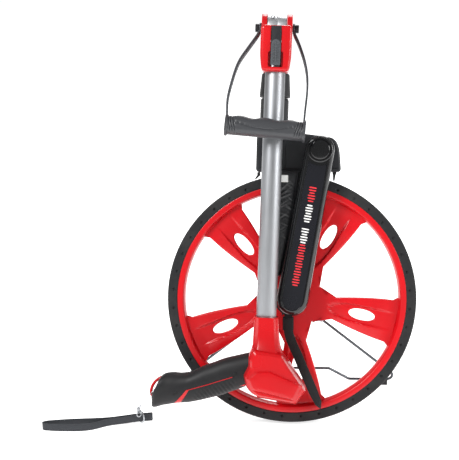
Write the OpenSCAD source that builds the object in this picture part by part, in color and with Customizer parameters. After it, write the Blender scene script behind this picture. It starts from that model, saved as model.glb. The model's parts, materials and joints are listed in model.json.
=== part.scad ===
// Folding measuring wheel with a one metre tread, shown folded and leaning on its wire stand.
// +Z is up, the front (display arm side) faces -Y, and z = 0 is the ground.
// Inside stood() the wheel is drawn upright: axle at the origin, wheel in the XZ plane, front to -Y.

/* [Wheel] */
// Distance rolled in one turn, at the tread
circumference = 1000; // [800:1:1200]
// Width of the tyre
tyre_w = 22; // [16:1:26]
// Thickness of the tyre from tread to rim
tyre_t = 12.8; // [10:0.1:16]
// Number of dimples on each side of the tyre
dimple_n = 40; // [20:1:60]
// Number of spokes
spoke_n = 5; // [3:1:6]
// Turn of the first spoke from straight up
spoke_turn = 30.8; // [0:0.1:90]
// Thickness of the spoke plate
plate_t = 6; // [4:0.5:8]
// Half width of a spoke at its neck
neck_half = 12; // [9:0.5:14]
// Half width of a spoke where it meets the rim
flare_half = 28; // [20:0.5:32]

/* [Axle] */
// Diameter of the axle
axle_d = 10; // [8:0.5:12]
// Outer diameter of each ball bearing
bearing_d = 26; // [24:0.5:30]
// Width of each ball bearing
bearing_w = 8; // [6:0.5:9]
// Radial running clearance of a shaft in its bore
running = 0.05; // [0.02:0.01:0.1]
// Clearance between pieces that are fixed together
fixed = 0.05; // [0.02:0.01:0.2]

/* [Fork] */
// Distance from the wheel's middle plane to the inner face of each arm
fork_half = 19; // [18:0.5:24]
// Thickness of the front arm's housing
arm_t = 16; // [12:0.5:18]
// Thickness of the front arm's cover
cover_t = 6; // [4:0.5:8]
// Thickness of the rear arm
rear_arm_t = 10; // [8:0.5:14]
// Radius of the arm's lower end
arm_r1 = 20; // [18:0.5:24]
// Radius of the arm's upper end
arm_r2 = 18.3; // [16:0.1:22]
// Distance between the two ends of an arm
arm_len = 191; // [170:1:220]
// Sideways tilt of the arms
arm_tilt = 10.25; // [0:0.25:15]
// Width of the bevel round the arm cover
bevel = 6.6; // [3:0.1:8]
// Wall of the moulded housings
wall = 2.5; // [1.5:0.1:3.5]
// Width of the crown over the tyre
crown_w = 106; // [90:1:130]
// Height of the crown
crown_h = 48.5; // [40:0.5:60]
// Gap between the tyre and the crown
crown_gap = 3.3; // [2:0.1:8]

/* [Pole] */
// Outer diameter of the aluminium tubes
tube_d = 25; // [22:0.5:28]
// Wall of the aluminium tubes
tube_wall = 1.5; // [1:0.1:2.5]
// Sideways tilt of the pole
pole_tilt = 2; // [0:0.25:5]
// Distance between the two tubes when the pole is folded
fold_pitch = 50; // [48:1:58]
// Height of the fold pivot above the axle
fold_z = 342.5; // [320:0.5:380]
// Diameter of the fold pivot pin
fold_pin_d = 8; // [6:0.5:10]
// Radius of the fold knuckles
knuckle_r = 17.5; // [15:0.5:18]
// Half width of the middle knuckle
mid_half = 12; // [9:0.5:13]
// Half width of the fold joint
joint_half = 19.2; // [18:0.1:22]
// Height of the front joint block
block_h = 57; // [50:1:70]

/* [Bail] */
// Thickness of the bail's flat strip
strip_t = 2.6; // [2:0.1:4]
// Width of the bail's flat strip
strip_w = 10; // [6:0.5:14]
// Swing of the bail forward from hanging straight down, as it leans on the tube
bail_lean = 21.5; // [20:0.5:40]
// Length of the bail's grip
bail_grip_len = 90; // [80:1:110]
// Depth of the bail's grip from front to back
bail_grip_d = 24; // [18:0.5:28]

/* [Head] */
// Depth of the display housing from front to back
pod_depth = 60; // [54:1:62]
// Depth of the rubber covered grip
grip_depth = 34; // [30:1:40]
// Depth of the neck
neck_depth = 33; // [31:1:38]
// Diameter of a push button
button_d = 8; // [6:0.5:9]
// Travel of a push button
button_travel = 0.8; // [0.4:0.1:1.2]
// Diameter of a battery cell
cell_d = 14.5; // [14:0.1:14.6]
// Length of a battery cell
cell_l = 50.5; // [44:0.5:51]

/* [Stand] */
// Lean of the wheel back on its stand
lean = 15; // [12:0.5:20]
// Diameter of the stand's wire
wire_d = 3.5; // [3:0.1:5]
// Length of the stand from its pivot to the feet
stand_len = 131.5; // [125:0.5:145]
// Half width of the stand at its lower corners
stand_half = 150; // [130:1:165]
// Bend radius of the wire at the feet
wire_bend = 7.5; // [6:0.5:12]
// Height of the wire's centre above the ground at the feet
foot_r = 7; // [5:0.5:10]

/* [Lanyard] */
// Width of the lanyard's webbing
lanyard_w = 9.6; // [8:0.2:14]
// Thickness of the lanyard's webbing
lanyard_t = 1.5; // [1:0.1:2]

/* [Hidden] */
$fn = 64;

// ---- worked out from the sizes above ----
wheel_r = circumference / (2 * PI);
half_w = tyre_w / 2;
shoulder = 2;
rim_r = wheel_r - tyre_t;
rim_half = half_w - 0.5;
lip_r = rim_r - 7.3;
well_r = rim_r - 9.5;
// the ground under a leaning wheel
lift = (half_w - shoulder) * sin(lean) + wheel_r * cos(lean);
// the whole object's box is centred over the origin
centre_x = 9.27;
centre_y = 2.53;
hub_r = 32;
hub_half = 15;
boss_r = bearing_d / 2 + 1.7;
bearing_out = hub_half + 2;
arm_x = 1.2;
arm_z = 2.5;
strap_tab_x = -4;
anchor_y = 3.9 - fork_half;
anchor_z = -17.5;
buckle_top = -23.2;
front_y = -fork_half - arm_t;
cover_y = front_y - cover_t;
cap_r = 12.5;
ring_r = 15.9;
crown_z = wheel_r + crown_gap;
crown_x = 8.5;
pole_x = -30.7;
pitch_y = -fold_pitch;
fold_y = -fold_pitch / 2;
tube_r = tube_d / 2;
face_gap = 0.15;
block_top = fold_z - face_gap;
block_z = fold_z - block_h;
block_front = pitch_y - 18;
latch_z = fold_z - 20;
latch_half = 6.25;
spring_floor = 8;
neck_top = -17.5;
tube_end = -60;
face_tilt = 7.9;
face_x = 17;
face_z = -118.6;
yoke_y = fork_half + rear_arm_t;
stand_y = yoke_y + 12;
stand_z = -14;
splay = lean + acos((lift + stand_z * cos(lean) - stand_y * sin(lean) - foot_r) / stand_len);
bail_len = 136;

// ---- frames ----
module stood() translate([centre_x, centre_y, lift]) rotate([-lean, 0, 0]) children();
module on_axle() stood() rotate([90, 0, 0]) children();
// arm frame: z runs up the arm, y stays the wheel's y
module on_arm() stood() translate([arm_x, 0, arm_z]) rotate([0, arm_tilt, 0]) children();
// pole frame: z runs up the pole and x = 0 is the pole's middle
module on_pole() stood() translate([pole_x, 0, 0]) rotate([0, pole_tilt, 0]) children();
// head frame: the pole frame, moved to the front tube
module on_head() on_pole() translate([0, pitch_y, 0]) children();
// display frame: x along the display face, z into the housing
module on_face() on_head() translate([face_x, 0, face_z]) rotate([0, face_tilt, 0]) children();
// stand frame: z runs up the leg, y = 0 is the leg's plane
module on_stand() stood() translate([0, stand_y, stand_z]) rotate([splay, 0, 0]) children();

// ---- shared shapes ----
// a prism standing on y: the outline is drawn in x and z, from y = a to y = b
module slab(a, b) translate([0, b, 0]) rotate([90, 0, 0]) linear_extrude(b - a) children();
module slab_x(a, b) translate([a, 0, 0]) rotate([90, 0, 90]) linear_extrude(b - a) children();
module rod_y(r, a, b) translate([0, b, 0]) rotate([90, 0, 0]) cylinder(r = r, h = b - a);
module rod_x(r, a, b) translate([a, 0, 0]) rotate([0, 90, 0]) cylinder(r = r, h = b - a);
// two round ends joined by their tangents
module long_hole(r1, r2, len) {
    a = asin((r1 - r2) / len);
    circle(r = r1);
    translate([0, len]) circle(r = r2);
    polygon([[-r1 * cos(a), r1 * sin(a)], [r1 * cos(a), r1 * sin(a)],
             [r2 * cos(a), len + r2 * sin(a)], [-r2 * cos(a), len + r2 * sin(a)]]);
}
module arm_outline(inset = 0) long_hole(arm_r1 - inset, arm_r2 - inset, arm_len);
function shrink(points, c, f) = [for (p = points) [c[0] + (p[0] - c[0]) * f[0], c[1] + (p[1] - c[1]) * f[1]]];
// a strip of thickness t along a route of [x, z] points
function along(p, i) = let (a = p[max(i - 1, 0)], b = p[min(i + 1, len(p) - 1)], d = b - a) d / norm(d);
function side(p, t) = [for (i = [0:len(p) - 1]) let (d = along(p, i)) p[i] + t * [-d[1], d[0]]];
function band(p, t) = concat(side(p, t / 2), [for (i = [len(p) - 1:-1:0]) side(p, -t / 2)[i]]);
// a hexagon nut with its hole
module nut(flats, h, r) difference() {
    cylinder(r = flats / 2 / cos(30), h = h, $fn = 6);
    translate([0, 0, -1]) cylinder(r = r, h = h + 2, $fn = 32);
}

// ---- wheel ----
module tyre() color("dimgray") on_axle() difference() {
    rotate_extrude($fn = 180) polygon([[rim_r, -half_w], [wheel_r - shoulder, -half_w], [wheel_r, shoulder - half_w],
        [wheel_r, half_w - shoulder], [wheel_r - shoulder, half_w], [rim_r, half_w]]);
    for (i = [0:dimple_n - 1], s = [-1, 1]) rotate([0, 0, (i + 0.5) * 360 / dimple_n])
        translate([0, wheel_r - 8, s * half_w]) cylinder(d = 3.6, h = 6, center = true, $fn = 16);
}

function ease(t) = 1 - pow(1 - max(0, min(1, t)), 1.5);
function spoke_half(r) = neck_half + (flare_half - neck_half) * ease((r - 48) / (well_r - 48));
spoke_steps = [for (k = [0:10]) hub_r - 4 + k * (well_r + 1 - hub_r + 4) / 10];
module spoke_outline() polygon(concat([for (r = spoke_steps) [spoke_half(r), r]],
                                      [for (k = [10:-1:0]) [-spoke_half(spoke_steps[k]), spoke_steps[k]]]));
module oval(half_len, half_wide) {
    for (s = [-1, 1]) translate([0, s * (half_len - half_wide)]) circle(r = half_wide, $fn = 32);
    square([2 * half_wide, 2 * (half_len - half_wide)], center = true);
}
module spoke() difference() {
    union() {
        linear_extrude(plate_t, center = true) spoke_outline();
        // raised rails along both edges, from the hub to past the hole
        linear_extrude(plate_t + 6, center = true) intersection() {
            difference() {
                spoke_outline();
                translate([0, well_r - 26]) polygon([[-neck_half + 4.5, hub_r - well_r + 26],
                    [neck_half - 4.5, hub_r - well_r + 26], [flare_half - 10, -24], [flare_half, 40], [-flare_half, 40],
                    [10 - flare_half, -24]]);
            }
            circle(r = well_r - 24);
        }
    }
    translate([0, 92.5]) linear_extrude(plate_t + 20, center = true) oval(17, 7);
}
module wheel() color("crimson") on_axle() difference() {
    union() {
        rotate_extrude($fn = 180) polygon([[rim_r, -rim_half], [lip_r + 1, -rim_half], [lip_r, 1.5 - rim_half],
            [well_r, -plate_t / 2 - 0.8], [well_r, plate_t / 2 + 0.8], [lip_r, rim_half - 1.5], [lip_r + 1, rim_half],
            [rim_r, rim_half]]);
        for (i = [0:spoke_n - 1]) rotate([0, 0, -spoke_turn - i * 360 / spoke_n]) spoke();
        cylinder(r = hub_r, h = plate_t + 4, center = true);
        cylinder(r = boss_r, h = 2 * hub_half, center = true);
    }
    cylinder(r = axle_d / 2 + 2, h = 3 * hub_half, center = true);
    for (s = [0, 180]) rotate([s, 0, 0])
        translate([0, 0, bearing_out - bearing_w]) cylinder(d = bearing_d, h = hub_half);
}
module wheel_bearings() color("silver") on_axle() for (s = [0, 180]) rotate([s, 0, 0])
    translate([0, 0, bearing_out - bearing_w]) difference() {
        cylinder(d = bearing_d, h = bearing_w);
        translate([0, 0, -1]) cylinder(r = axle_d / 2 + running, h = bearing_w + 2);
        translate([0, 0, bearing_w - 0.6]) rotate_extrude() translate([axle_d / 2 + 2, 0]) square([4.5, 2]);
    }
module encoder_ring() color("darkslategray") on_axle() translate([0, 0, plate_t / 2 + 2]) difference() {
    cylinder(r = boss_r + 7, h = 5);
    translate([0, 0, -1]) cylinder(r = boss_r + fixed, h = 9);
}

// ---- fork ----
function crown_points() = [[-crown_w / 2 - 1, 0], [crown_w / 2 + 1, 0], [crown_w / 2 - 1, crown_h - 21],
    [crown_w / 2 - 4.5, crown_h - 10], [crown_w / 2 - 11, crown_h - 4.5], [10, crown_h], [2 - crown_w / 2, crown_h - 1],
    [-crown_w / 2, crown_h - 4]];
module crown_outline(f) translate([crown_x, crown_z]) polygon(shrink(crown_points(), [0, crown_h / 2], f));
module crown_half(s) difference() {
    slab(s > 0 ? 0 : -fork_half, s > 0 ? fork_half : 0) crown_outline([1, 1]);
    slab(s > 0 ? -1 : wall + 1 - fork_half, s > 0 ? fork_half - wall - 1 : 1)
        crown_outline([1 - 2 * wall / crown_w, 1 - 2 * wall / crown_h]);
}
module crown_holes() {
    // seat of the lower tube
    translate([pole_x, 0, 0]) rotate([0, pole_tilt, 0])
        translate([0, 0, crown_z + wall]) cylinder(r = tube_r + fixed, h = crown_h + 10);
    // arm bolt
    translate([arm_x, 0, arm_z]) rotate([0, arm_tilt, 0]) translate([0, 0, arm_len])
        rod_y(4 + fixed, -fork_half - 1, fork_half + 1);
    for (p = crown_screw_places) translate([p[0], 0, p[1]]) rod_y(1.6, -fork_half + wall + 1, fork_half + 1);
}
crown_screw_places = [[crown_x - crown_w / 2 + 4, crown_z + 9], [crown_x - crown_w / 2 + 4, crown_z + crown_h - 11],
    [crown_x + crown_w / 2 - 8, crown_z + 9], [crown_x + 6, crown_z + crown_h - 8]];
module crown_posts(a, b) for (p = crown_screw_places) translate([p[0], 0, p[1]]) rod_y(4, a, b);
module crown_front() color("black") stood() difference() {
    union() {
        crown_half(-1);
        crown_posts(-fork_half + 1, 0);
        // sleeve round the arm bolt
        intersection() {
            translate([arm_x, 0, arm_z]) rotate([0, arm_tilt, 0]) translate([0, 0, arm_len]) rod_y(8, -fork_half, 0);
            slab(-fork_half, 0) crown_outline([1, 1]);
        }
    }
    crown_holes();
    // pocket for the top of the padded strap
    translate([strap_x - 16, -fork_half - 1, crown_z - 1]) cube([32, 4.3, 11]);
}
module crown_rear() color("black") stood() difference() {
    union() {
        crown_half(1);
        crown_posts(0, fork_half - 1);
        intersection() {
            translate([arm_x, 0, arm_z]) rotate([0, arm_tilt, 0]) translate([0, 0, arm_len]) rod_y(8, 0, fork_half);
            slab(0, fork_half) crown_outline([1, 1]);
        }
    }
    crown_holes();
    for (p = crown_screw_places) translate([p[0], 0, p[1]]) rod_y(3.1, fork_half - 2, fork_half + 1);
}
module crown_screws() color("gray") stood() for (p = crown_screw_places) translate([p[0], 0, p[1]]) difference() {
    union() {
        rod_y(1.5, -12, fork_half - 1);
        rod_y(3, fork_half - 1.9, fork_half + 0.3);
    }
    for (a = [0, 90]) rotate([0, a, 0]) translate([-0.4, fork_half - 0.7, -2]) cube([0.8, 2, 4]);
}
module tyre_scrapers() color("black") stood() {
    slab(-half_w, half_w) polygon([[-44, crown_z], [-40.5, crown_z], [-40.2, crown_z - 4], [-45.5, wheel_r - 5.5],
        [-47.6, wheel_r - 5.5], [-44, crown_z - 4]]);
    slab(-half_w, half_w) polygon([[52, crown_z], [57, crown_z], [55.5, crown_z - 5], [54.5, wheel_r - 8],
        [53.2, wheel_r - 8], [53, crown_z - 5]]);
}

module arm_front_shell() color("black") difference() {
    union() {
        on_arm() difference() {
            slab(front_y, -fork_half) arm_outline();
            slab(front_y - 1, -fork_half - wall) arm_outline(wall);
        }
        // bosses of the axle and of the arm bolt
        stood() rod_y(9, -fork_half - 8, -fork_half);
        on_arm() translate([0, 0, arm_len]) rod_y(8, -fork_half - 8, -fork_half);
        // bar that the carry strap's anchor loops round
        stood() difference() {
            union() {
                for (x = [strap_tab_x - 8, strap_tab_x + 6.5])
                    translate([x, -fork_half - 1, anchor_z - 2.1]) cube([1.5, 7.5, 11.6]);
                translate([0, anchor_y, anchor_z]) rod_x(1.2, strap_tab_x - 8, strap_tab_x + 8);
            }
            // room for the turning hub and its bearing
            rod_y(boss_r + 0.6, -bearing_out - 0.4, 0);
        }
    }
    stood() rod_y(axle_d / 2 + fixed, -fork_half - 20, -fork_half + 1);
    on_arm() translate([0, 0, arm_len]) rod_y(4 + fixed, -fork_half - 20, -fork_half + 1);
}
module panel_outline(gap) difference() {
    arm_outline(bevel + gap);
    translate([0, arm_len]) circle(r = ring_r + 4 + gap);
}
module arm_front_cover() color("black") on_arm() difference() {
    union() {
        hull() {
            slab(front_y - 2.2, front_y) arm_outline();
            slab(cover_y, cover_y + 0.2) arm_outline(bevel - 1.2);
        }
        translate([0, 0, arm_len]) rod_y(ring_r, cover_y - 1, front_y - 1);
    }
    slab(cover_y - 1, cover_y + 1) panel_outline(0);
    slab(front_y - 3, front_y + 1) arm_outline(wall + 4);
    translate([0, 0, arm_len]) rod_y(cap_r + 0.4, cover_y - 2, front_y + 1);
}
module arm_front_panel() color("dimgray") on_arm() slab(cover_y + 0.3, cover_y + 1) panel_outline(0.2);
module arm_front_cap() color("black") on_arm() translate([0, 0, arm_len]) {
    rod_y(cap_r, cover_y - 0.6, front_y + 1);
    intersection() {
        rod_y(cap_r, cover_y - 3, cover_y);
        translate([0, cover_y + 60, 0]) sphere(r = 62, $fn = 96);
    }
}
module arm_rear_shell() color("black") difference() {
    union() {
        on_arm() difference() {
            slab(fork_half, yoke_y) arm_outline();
            slab(fork_half - 1, yoke_y - wall) arm_outline(wall);
        }
        stood() rod_y(9, fork_half, yoke_y);
        on_arm() translate([0, 0, arm_len]) rod_y(8, fork_half, yoke_y);
    }
    stood() rod_y(axle_d / 2 + fixed, fork_half - 1, yoke_y + 1);
    on_arm() translate([0, 0, arm_len]) rod_y(4 + fixed, fork_half - 1, yoke_y + 1);
}
module arm_bolt() color("silver") on_arm() translate([0, 0, arm_len]) {
    rod_y(4, -fork_half - 8, yoke_y + 8);
    translate([0, -fork_half - 8, 0]) rotate([90, 0, 0]) cylinder(r = 7.5, h = 5, $fn = 6);
}
module arm_bolt_nut() color("silver") on_arm() translate([0, yoke_y, arm_len]) rotate([-90, 0, 0]) nut(13, 6.5, 4 + fixed);

module axle() color("silver") stood() {
    rod_y(axle_d / 2, -fork_half - 15, yoke_y + 11);
    for (s = [-1, 1]) rod_y(axle_d / 2 + 2.2, s > 0 ? bearing_out + 0.3 : -fork_half, s > 0 ? fork_half : -bearing_out - 0.3);
}
module axle_nuts() color("silver") stood() {
    translate([0, -fork_half - 8, 0]) rotate([90, 0, 0]) nut(16, 5, axle_d / 2 + fixed);
    translate([0, yoke_y + 4, 0]) rotate([-90, 0, 0]) nut(16, 5, axle_d / 2 + fixed);
}
module sensor_board() color("green") on_arm() difference() {
    slab(-fork_half - 4.2, -fork_half - wall) translate([-13, 13]) square([26, 60]);
    translate([0, 0, 20]) rod_y(1.5, -fork_half - 6, -fork_half);
}

// ---- pole ----
module lower_tube() color("silver") on_pole() difference() {
    translate([0, 0, crown_z + 6]) cylinder(r = tube_r, h = fold_z - 22 - crown_z - 6);
    translate([0, 0, crown_z + 5]) cylinder(r = tube_r - tube_wall, h = fold_z);
}
stem_z = crown_z + crown_h + 1.8;
sleeve_z = fold_z - 85;
knuckle_z = fold_z - 54.5;
module pole_stem() color("black") on_pole() difference() {
    translate([0, 0, stem_z]) cylinder(r = 18.2, h = sleeve_z - 1 - stem_z);
    translate([0, 0, stem_z - 1]) cylinder(r = tube_r + fixed, h = sleeve_z);
}
module stem_sleeve() color("black") on_pole() difference() {
    translate([0, 0, sleeve_z]) cylinder(r = 19, h = knuckle_z - sleeve_z);
    translate([0, 0, sleeve_z - 1]) cylinder(r = tube_r + fixed, h = 60);
}
module lower_knuckle() color("silver") on_pole() difference() {
    union() {
        // block round the lower tube
        difference() {
            translate([-16, -16.5, knuckle_z]) cube([32, 34, block_top - knuckle_z]);
            translate([0, fold_y, fold_z]) rod_x(knuckle_r + 0.5, -40, -mid_half);
            translate([0, fold_y, fold_z]) rod_x(knuckle_r + 0.5, mid_half, 40);
        }
        translate([-mid_half, fold_y, fold_z - 14]) cube([2 * mid_half, 12, 14 - face_gap]);
        translate([0, fold_y, fold_z]) rod_x(knuckle_r - 1, -mid_half, mid_half);
    }
    translate([0, 0, knuckle_z - 1]) cylinder(r = tube_r + fixed, h = fold_z - 22 - knuckle_z + 1);
    translate([0, fold_y, fold_z]) rod_x(fold_pin_d / 2 + fixed, -30, 30);
    // catch for the latch on the rear face
    translate([-latch_half - 0.5, 15.5, fold_z - 12]) cube([2 * latch_half + 1, 4, 5]);
}
pin_end = joint_half + strip_t + 0.9;
module fold_pin() color("dimgray") on_pole() translate([0, fold_y, fold_z]) {
    rod_x(fold_pin_d / 2, -pin_end, pin_end);
    for (s = [0, 180]) rotate([0, 0, s]) rod_x(fold_pin_d / 2 + 1.2, pin_end, pin_end + 4.6);
}
function block_points() = [[-15.8, block_z], [15.8, block_z], [joint_half, fold_z - 38], [joint_half, block_top],
    [-joint_half, block_top], [-joint_half, fold_z - 38]];
module upper_knuckle() color("red") on_pole() difference() {
    union() {
        slab(block_front, pitch_y + 16) polygon(block_points());
        for (s = [-1, 1]) translate([s > 0 ? mid_half + 0.4 : -joint_half, 0, 0]) {
            translate([0, fold_y, fold_z]) rod_x(knuckle_r, 0, joint_half - mid_half - 0.4);
            translate([0, pitch_y + 6, fold_z - 16]) cube([joint_half - mid_half - 0.4, 25, 16 - face_gap]);
        }
    }
    translate([0, pitch_y, block_z - 1]) cylinder(r = tube_r + fixed, h = 35);
    translate([0, fold_y, fold_z]) rod_x(knuckle_r - 0.5, -mid_half - 0.4, mid_half + 0.4);
    translate([0, fold_y, fold_z]) rod_x(fold_pin_d / 2 + running, -30, 30);
    // channel and finger recess of the latch
    translate([-latch_half - 0.5, block_front - 1, block_z + 6]) cube([2 * latch_half + 1, 5.5, block_h]);
    translate([-8.6, block_front - 1, block_z + 6]) cube([17.2, 5.5, 15]);
    translate([-latch_half - 0.5, block_front, latch_z - 2]) cube([2 * latch_half + 1, spring_floor, block_h]);
    translate([0, block_front + 2.2, latch_z]) rod_x(1.5 + fixed, -12, 12);
}
module upper_tube() color("silver") on_head() difference() {
    translate([0, 0, tube_end]) cylinder(r = tube_r, h = block_z + 33 - tube_end);
    translate([0, 0, tube_end - 1]) cylinder(r = tube_r - tube_wall, h = block_z + 40 - tube_end);
}
module latch_lever() color("dimgray") on_pole() difference() {
    union() {
        slab(block_front - 2.2, block_front + 3) translate([-latch_half, block_z + 7]) square([2 * latch_half, block_h - 8.5]);
        slab(block_front - 2.8, block_front) for (k = [0:7])
            translate([-4.6, block_z + 10 + k * 3]) square([9.2, 1.4]);
    }
    translate([0, block_front + 2.2, latch_z]) rod_x(1.5 + running, -12, 12);
}
module latch_pin() color("silver") on_pole() translate([0, block_front + 2.2, latch_z]) rod_x(1.5, -11.5, 11.5);
module latch_spring() color("silver") on_pole() slab_x(-2.4, 2.4) polygon(band([[block_front + spring_floor - 0.3, latch_z + 3],
    [block_front + 4.6, latch_z + 6.5], [block_front + 3.55, latch_z + 9.5], [block_front + 4.6, latch_z + 12.5],
    [block_front + spring_floor - 0.3, latch_z + 16]], 0.5));

// ---- bail ----
// bail frame: z runs down the bail from the pivot, tilted forward until the grip rests on the tube
module on_bail() on_pole() translate([0, fold_y, fold_z]) rotate([-bail_lean, 0, 0]) children();
bail_tilt = 3.5;
grip_mid = [-9.4, -bail_len];
grip_end = (bail_grip_len / 2 + 0.3 + strip_t / 2) * [cos(bail_tilt), -sin(bail_tilt)];
// the strip's route: down one side, through the grip and up the other side
bail_route = concat([[-20.9, 5], [-20.9, -6], [-34, -28], [-47, -50], [-54, -80], [-57.5, -101]],
    [(grip_mid - grip_end) + [-0.8, 12], grip_mid - grip_end, grip_mid + grip_end, (grip_mid + grip_end) + [1.1, 24]],
    [[40.6, -85], [39.8, -64], [35.5, -43], [27.5, -20], [20.9, -6], [20.9, 5]]);
module on_bail_grip() on_bail() translate([grip_mid[0], 0, grip_mid[1]]) rotate([0, bail_tilt, 0]) children();
module bail_strip() color("dimgray") on_bail() difference() {
    union() {
        slab(-strip_w / 2, strip_w / 2) polygon(band(bail_route, strip_t));
        for (s = [-1, 1]) rod_x(strip_w / 2 + 1.5, s * 20.9 - strip_t / 2, s * 20.9 + strip_t / 2);
    }
    rod_x(fold_pin_d / 2 + running, -30, 30);
}
module bail_grip() color("black") on_bail_grip() difference() {
    union() {
        hull() for (s = [-1, 1]) translate([s * (bail_grip_len / 2 - 0.25), 0, 0]) rotate([0, 90, 0])
            cylinder(r = bail_grip_d / 2 - 1, h = 0.5, center = true, $fn = 40);
        hull() for (z = [-4, 2]) translate([0, 0, z]) rotate([0, 90, 0])
            cylinder(r = bail_grip_d / 2 - 2, h = bail_grip_len - 4, center = true, $fn = 40);
    }
    cube([bail_grip_len + 2, strip_w + 2 * fixed, strip_t + 2 * fixed], center = true);
}

// ---- head ----
pod_points = [[-15, neck_top], [15.3, neck_top], [17, -40], [20, -59], [29, -72], [47.5, -97.6], [53, -104.4],
    [41.5, -122], [-7.3, -115.2], [-15.2, -111], [-21.5, -103.6], [-25.5, -90], [-19.5, -77.5], [-20, -65.2],
    [-15.5, -55]];
pod_mid = [13, -92];
pod_low = [for (p = pod_points) if (p[1] < -54) p];
grip_points = [[-19, -66], [-50, -75.5], [-76, -86.5], [-93, -95], [-106, -96.5], [-118, -97], [-126, -101],
    [-131, -109], [-129, -117], [-136, -124], [-136, -132.5], [-106, -127], [-66, -118.5], [-39, -109.5], [-20, -104]];
rubber_points = [[-21.8, -64.4], [-50.7, -72.4], [-75.5, -82.5], [-92.4, -91.2], [-104.7, -93], [-118.4, -93.2],
    [-127.5, -96.8], [-133.5, -107.7], [-132.2, -115], [-136, -120.6], [-139.6, -121.5], [-139.4, -136.4],
    [-108.4, -131], [-94.2, -129.4], [-66.4, -122.5], [-39.4, -113], [-26, -107.5]];
cover_points = [[-11, -81.6], [7.3, -80.9], [49, -97.4], [39.5, -116.5], [-14.5, -105.7], [-22, -91]];
loop_outer = [[-127, -97.5], [-134.5, -102], [-140, -108.5], [-143, -117], [-141.5, -124.5], [-136, -127], [-124, -110]];
loop_hole = [[-131.5, -103], [-136, -106.5], [-139, -112], [-140, -118.5], [-136, -120], [-131.6, -115], [-131, -109]];
// one half of the head: s is -1 at the front of the parting plane and 1 behind it
module head_body(s) {
    slab(min(0, s * pod_depth / 2), max(0, s * pod_depth / 2)) polygon(pod_low);
    slab(min(0, s * neck_depth / 2), max(0, s * neck_depth / 2)) polygon([for (p = pod_points) if (p[1] > -66) p]);
    slab(min(0, s * (grip_depth / 2 - 3)), max(0, s * (grip_depth / 2 - 3))) polygon(grip_points);
    slab(min(0, s * 2.6), max(0, s * 2.6)) polygon(loop_outer);
}
module head_room(s) {
    inner = s * (pod_depth / 2 - wall);
    slab(min(-s, inner), max(-s, inner)) polygon(shrink(pod_low, pod_mid, [0.9, 0.86]));
    slab(min(-s, s * (grip_depth / 2 - 3 - wall)), max(-s, s * (grip_depth / 2 - 3 - wall)))
        polygon(shrink(grip_points, [-76, -104], [0.93, 0.72]));
    slab(-10, 10) polygon(loop_hole);
    translate([0, 0, tube_end]) cylinder(r = tube_r + fixed, h = 80);
    for (p = grip_screw_places) translate([p[0], 0, p[1]]) rod_y(1.6, -grip_depth / 2, 12);
}
grip_screw_places = [[-110.7, -113.5], [-37.3, -90.5]];
module grip_posts(s) for (p = grip_screw_places) translate([p[0], 0, p[1]])
    rod_y(4.2, min(0, s * (grip_depth / 2 - 3)), max(0, s * (grip_depth / 2 - 3)));
module display_window() on_face() {
    translate([-25.2, -24.2, -1]) cube([49.4, 48.4, 20]);
}
module head_front() color("red") difference() {
    on_head() difference() {
        union() {
            difference() {
                head_body(-1);
                head_room(-1);
            }
            difference() {
                grip_posts(-1);
                for (p = grip_screw_places) translate([p[0], 0, p[1]]) rod_y(1.6, -grip_depth, 1);
            }
        }
        slab(-pod_depth, -pod_depth / 2 + wall + 1) polygon(shrink(cover_points, pod_mid, [0.86, 0.86]));
    }
    display_window();
}
module head_rear() color("red") difference() {
    on_head() difference() {
        union() {
            difference() {
                head_body(1);
                head_room(1);
            }
            grip_posts(1);
        }
        for (p = grip_screw_places) translate([p[0], 0, p[1]]) rod_y(1.3, -1, 10);
    }
    display_window();
}
module grip_rubber() color("black") on_head() difference() {
    slab(-grip_depth / 2, grip_depth / 2) polygon(rubber_points);
    slab(3 - grip_depth / 2, grip_depth / 2 - 3) polygon(shrink(grip_points, [-76, -104], [1.002, 1.004]));
    slab(-40, 40) polygon([[-19, -50], [-27, -80], [-25, -120], [0, -120], [0, -50]]);
    slab(-20, 20) polygon(shrink(loop_hole, [-136, -112], [1.05, 1.05]));
    slab(-2.8, 2.8) polygon(shrink(loop_outer, [-134, -112], [1.04, 1.04]));
    // band where the red core shows, on both sides
    for (a = [-30, grip_depth / 2 - 3.5]) translate([0, a, 0])
        slab(0, 30 - grip_depth / 2 + 3.5) polygon([[-107.4, -135], [-107.4, -114.2], [-95, -113.5], [-39.5, -92.2], [-20, -86.5],
            [-20, -88.5], [-39.5, -94.2], [-94, -115.6], [-97, -135]]);
    for (p = grip_screw_places) translate([p[0], 0, p[1]]) rod_y(3.4, -40, 0);
}
module grip_screws() color("dimgray") on_head() for (p = grip_screw_places) translate([p[0], 0, p[1]]) difference() {
    union() {
        rod_y(1.25, 2 - grip_depth / 2, 8);
        rod_y(3, 0.5 - grip_depth / 2, 2.9 - grip_depth / 2);
    }
    for (a = [0, 90]) rotate([0, a, 0]) translate([-0.4, -grip_depth / 2, -2]) cube([0.8, 1.5, 4]);
}
module side_cover() color("red") on_head() {
    slab(-pod_depth / 2 - 3, -pod_depth / 2) polygon(cover_points);
    // plug with the battery contacts
    slab(-pod_depth / 2, -cell_l / 2 - 0.3) polygon(shrink(cover_points, pod_mid, [0.84, 0.84]));
}
cell_places = [[-9, -94], [6.8, -95.3], [22.5, -97.5], [38, -101]];
module battery_cells() color("goldenrod") on_head() for (p = cell_places) translate([p[0], 0, p[1]]) {
    rod_y(cell_d / 2, -cell_l / 2, cell_l / 2 - 1);
    rod_y(2.7, cell_l / 2 - 1, cell_l / 2);
}

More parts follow.
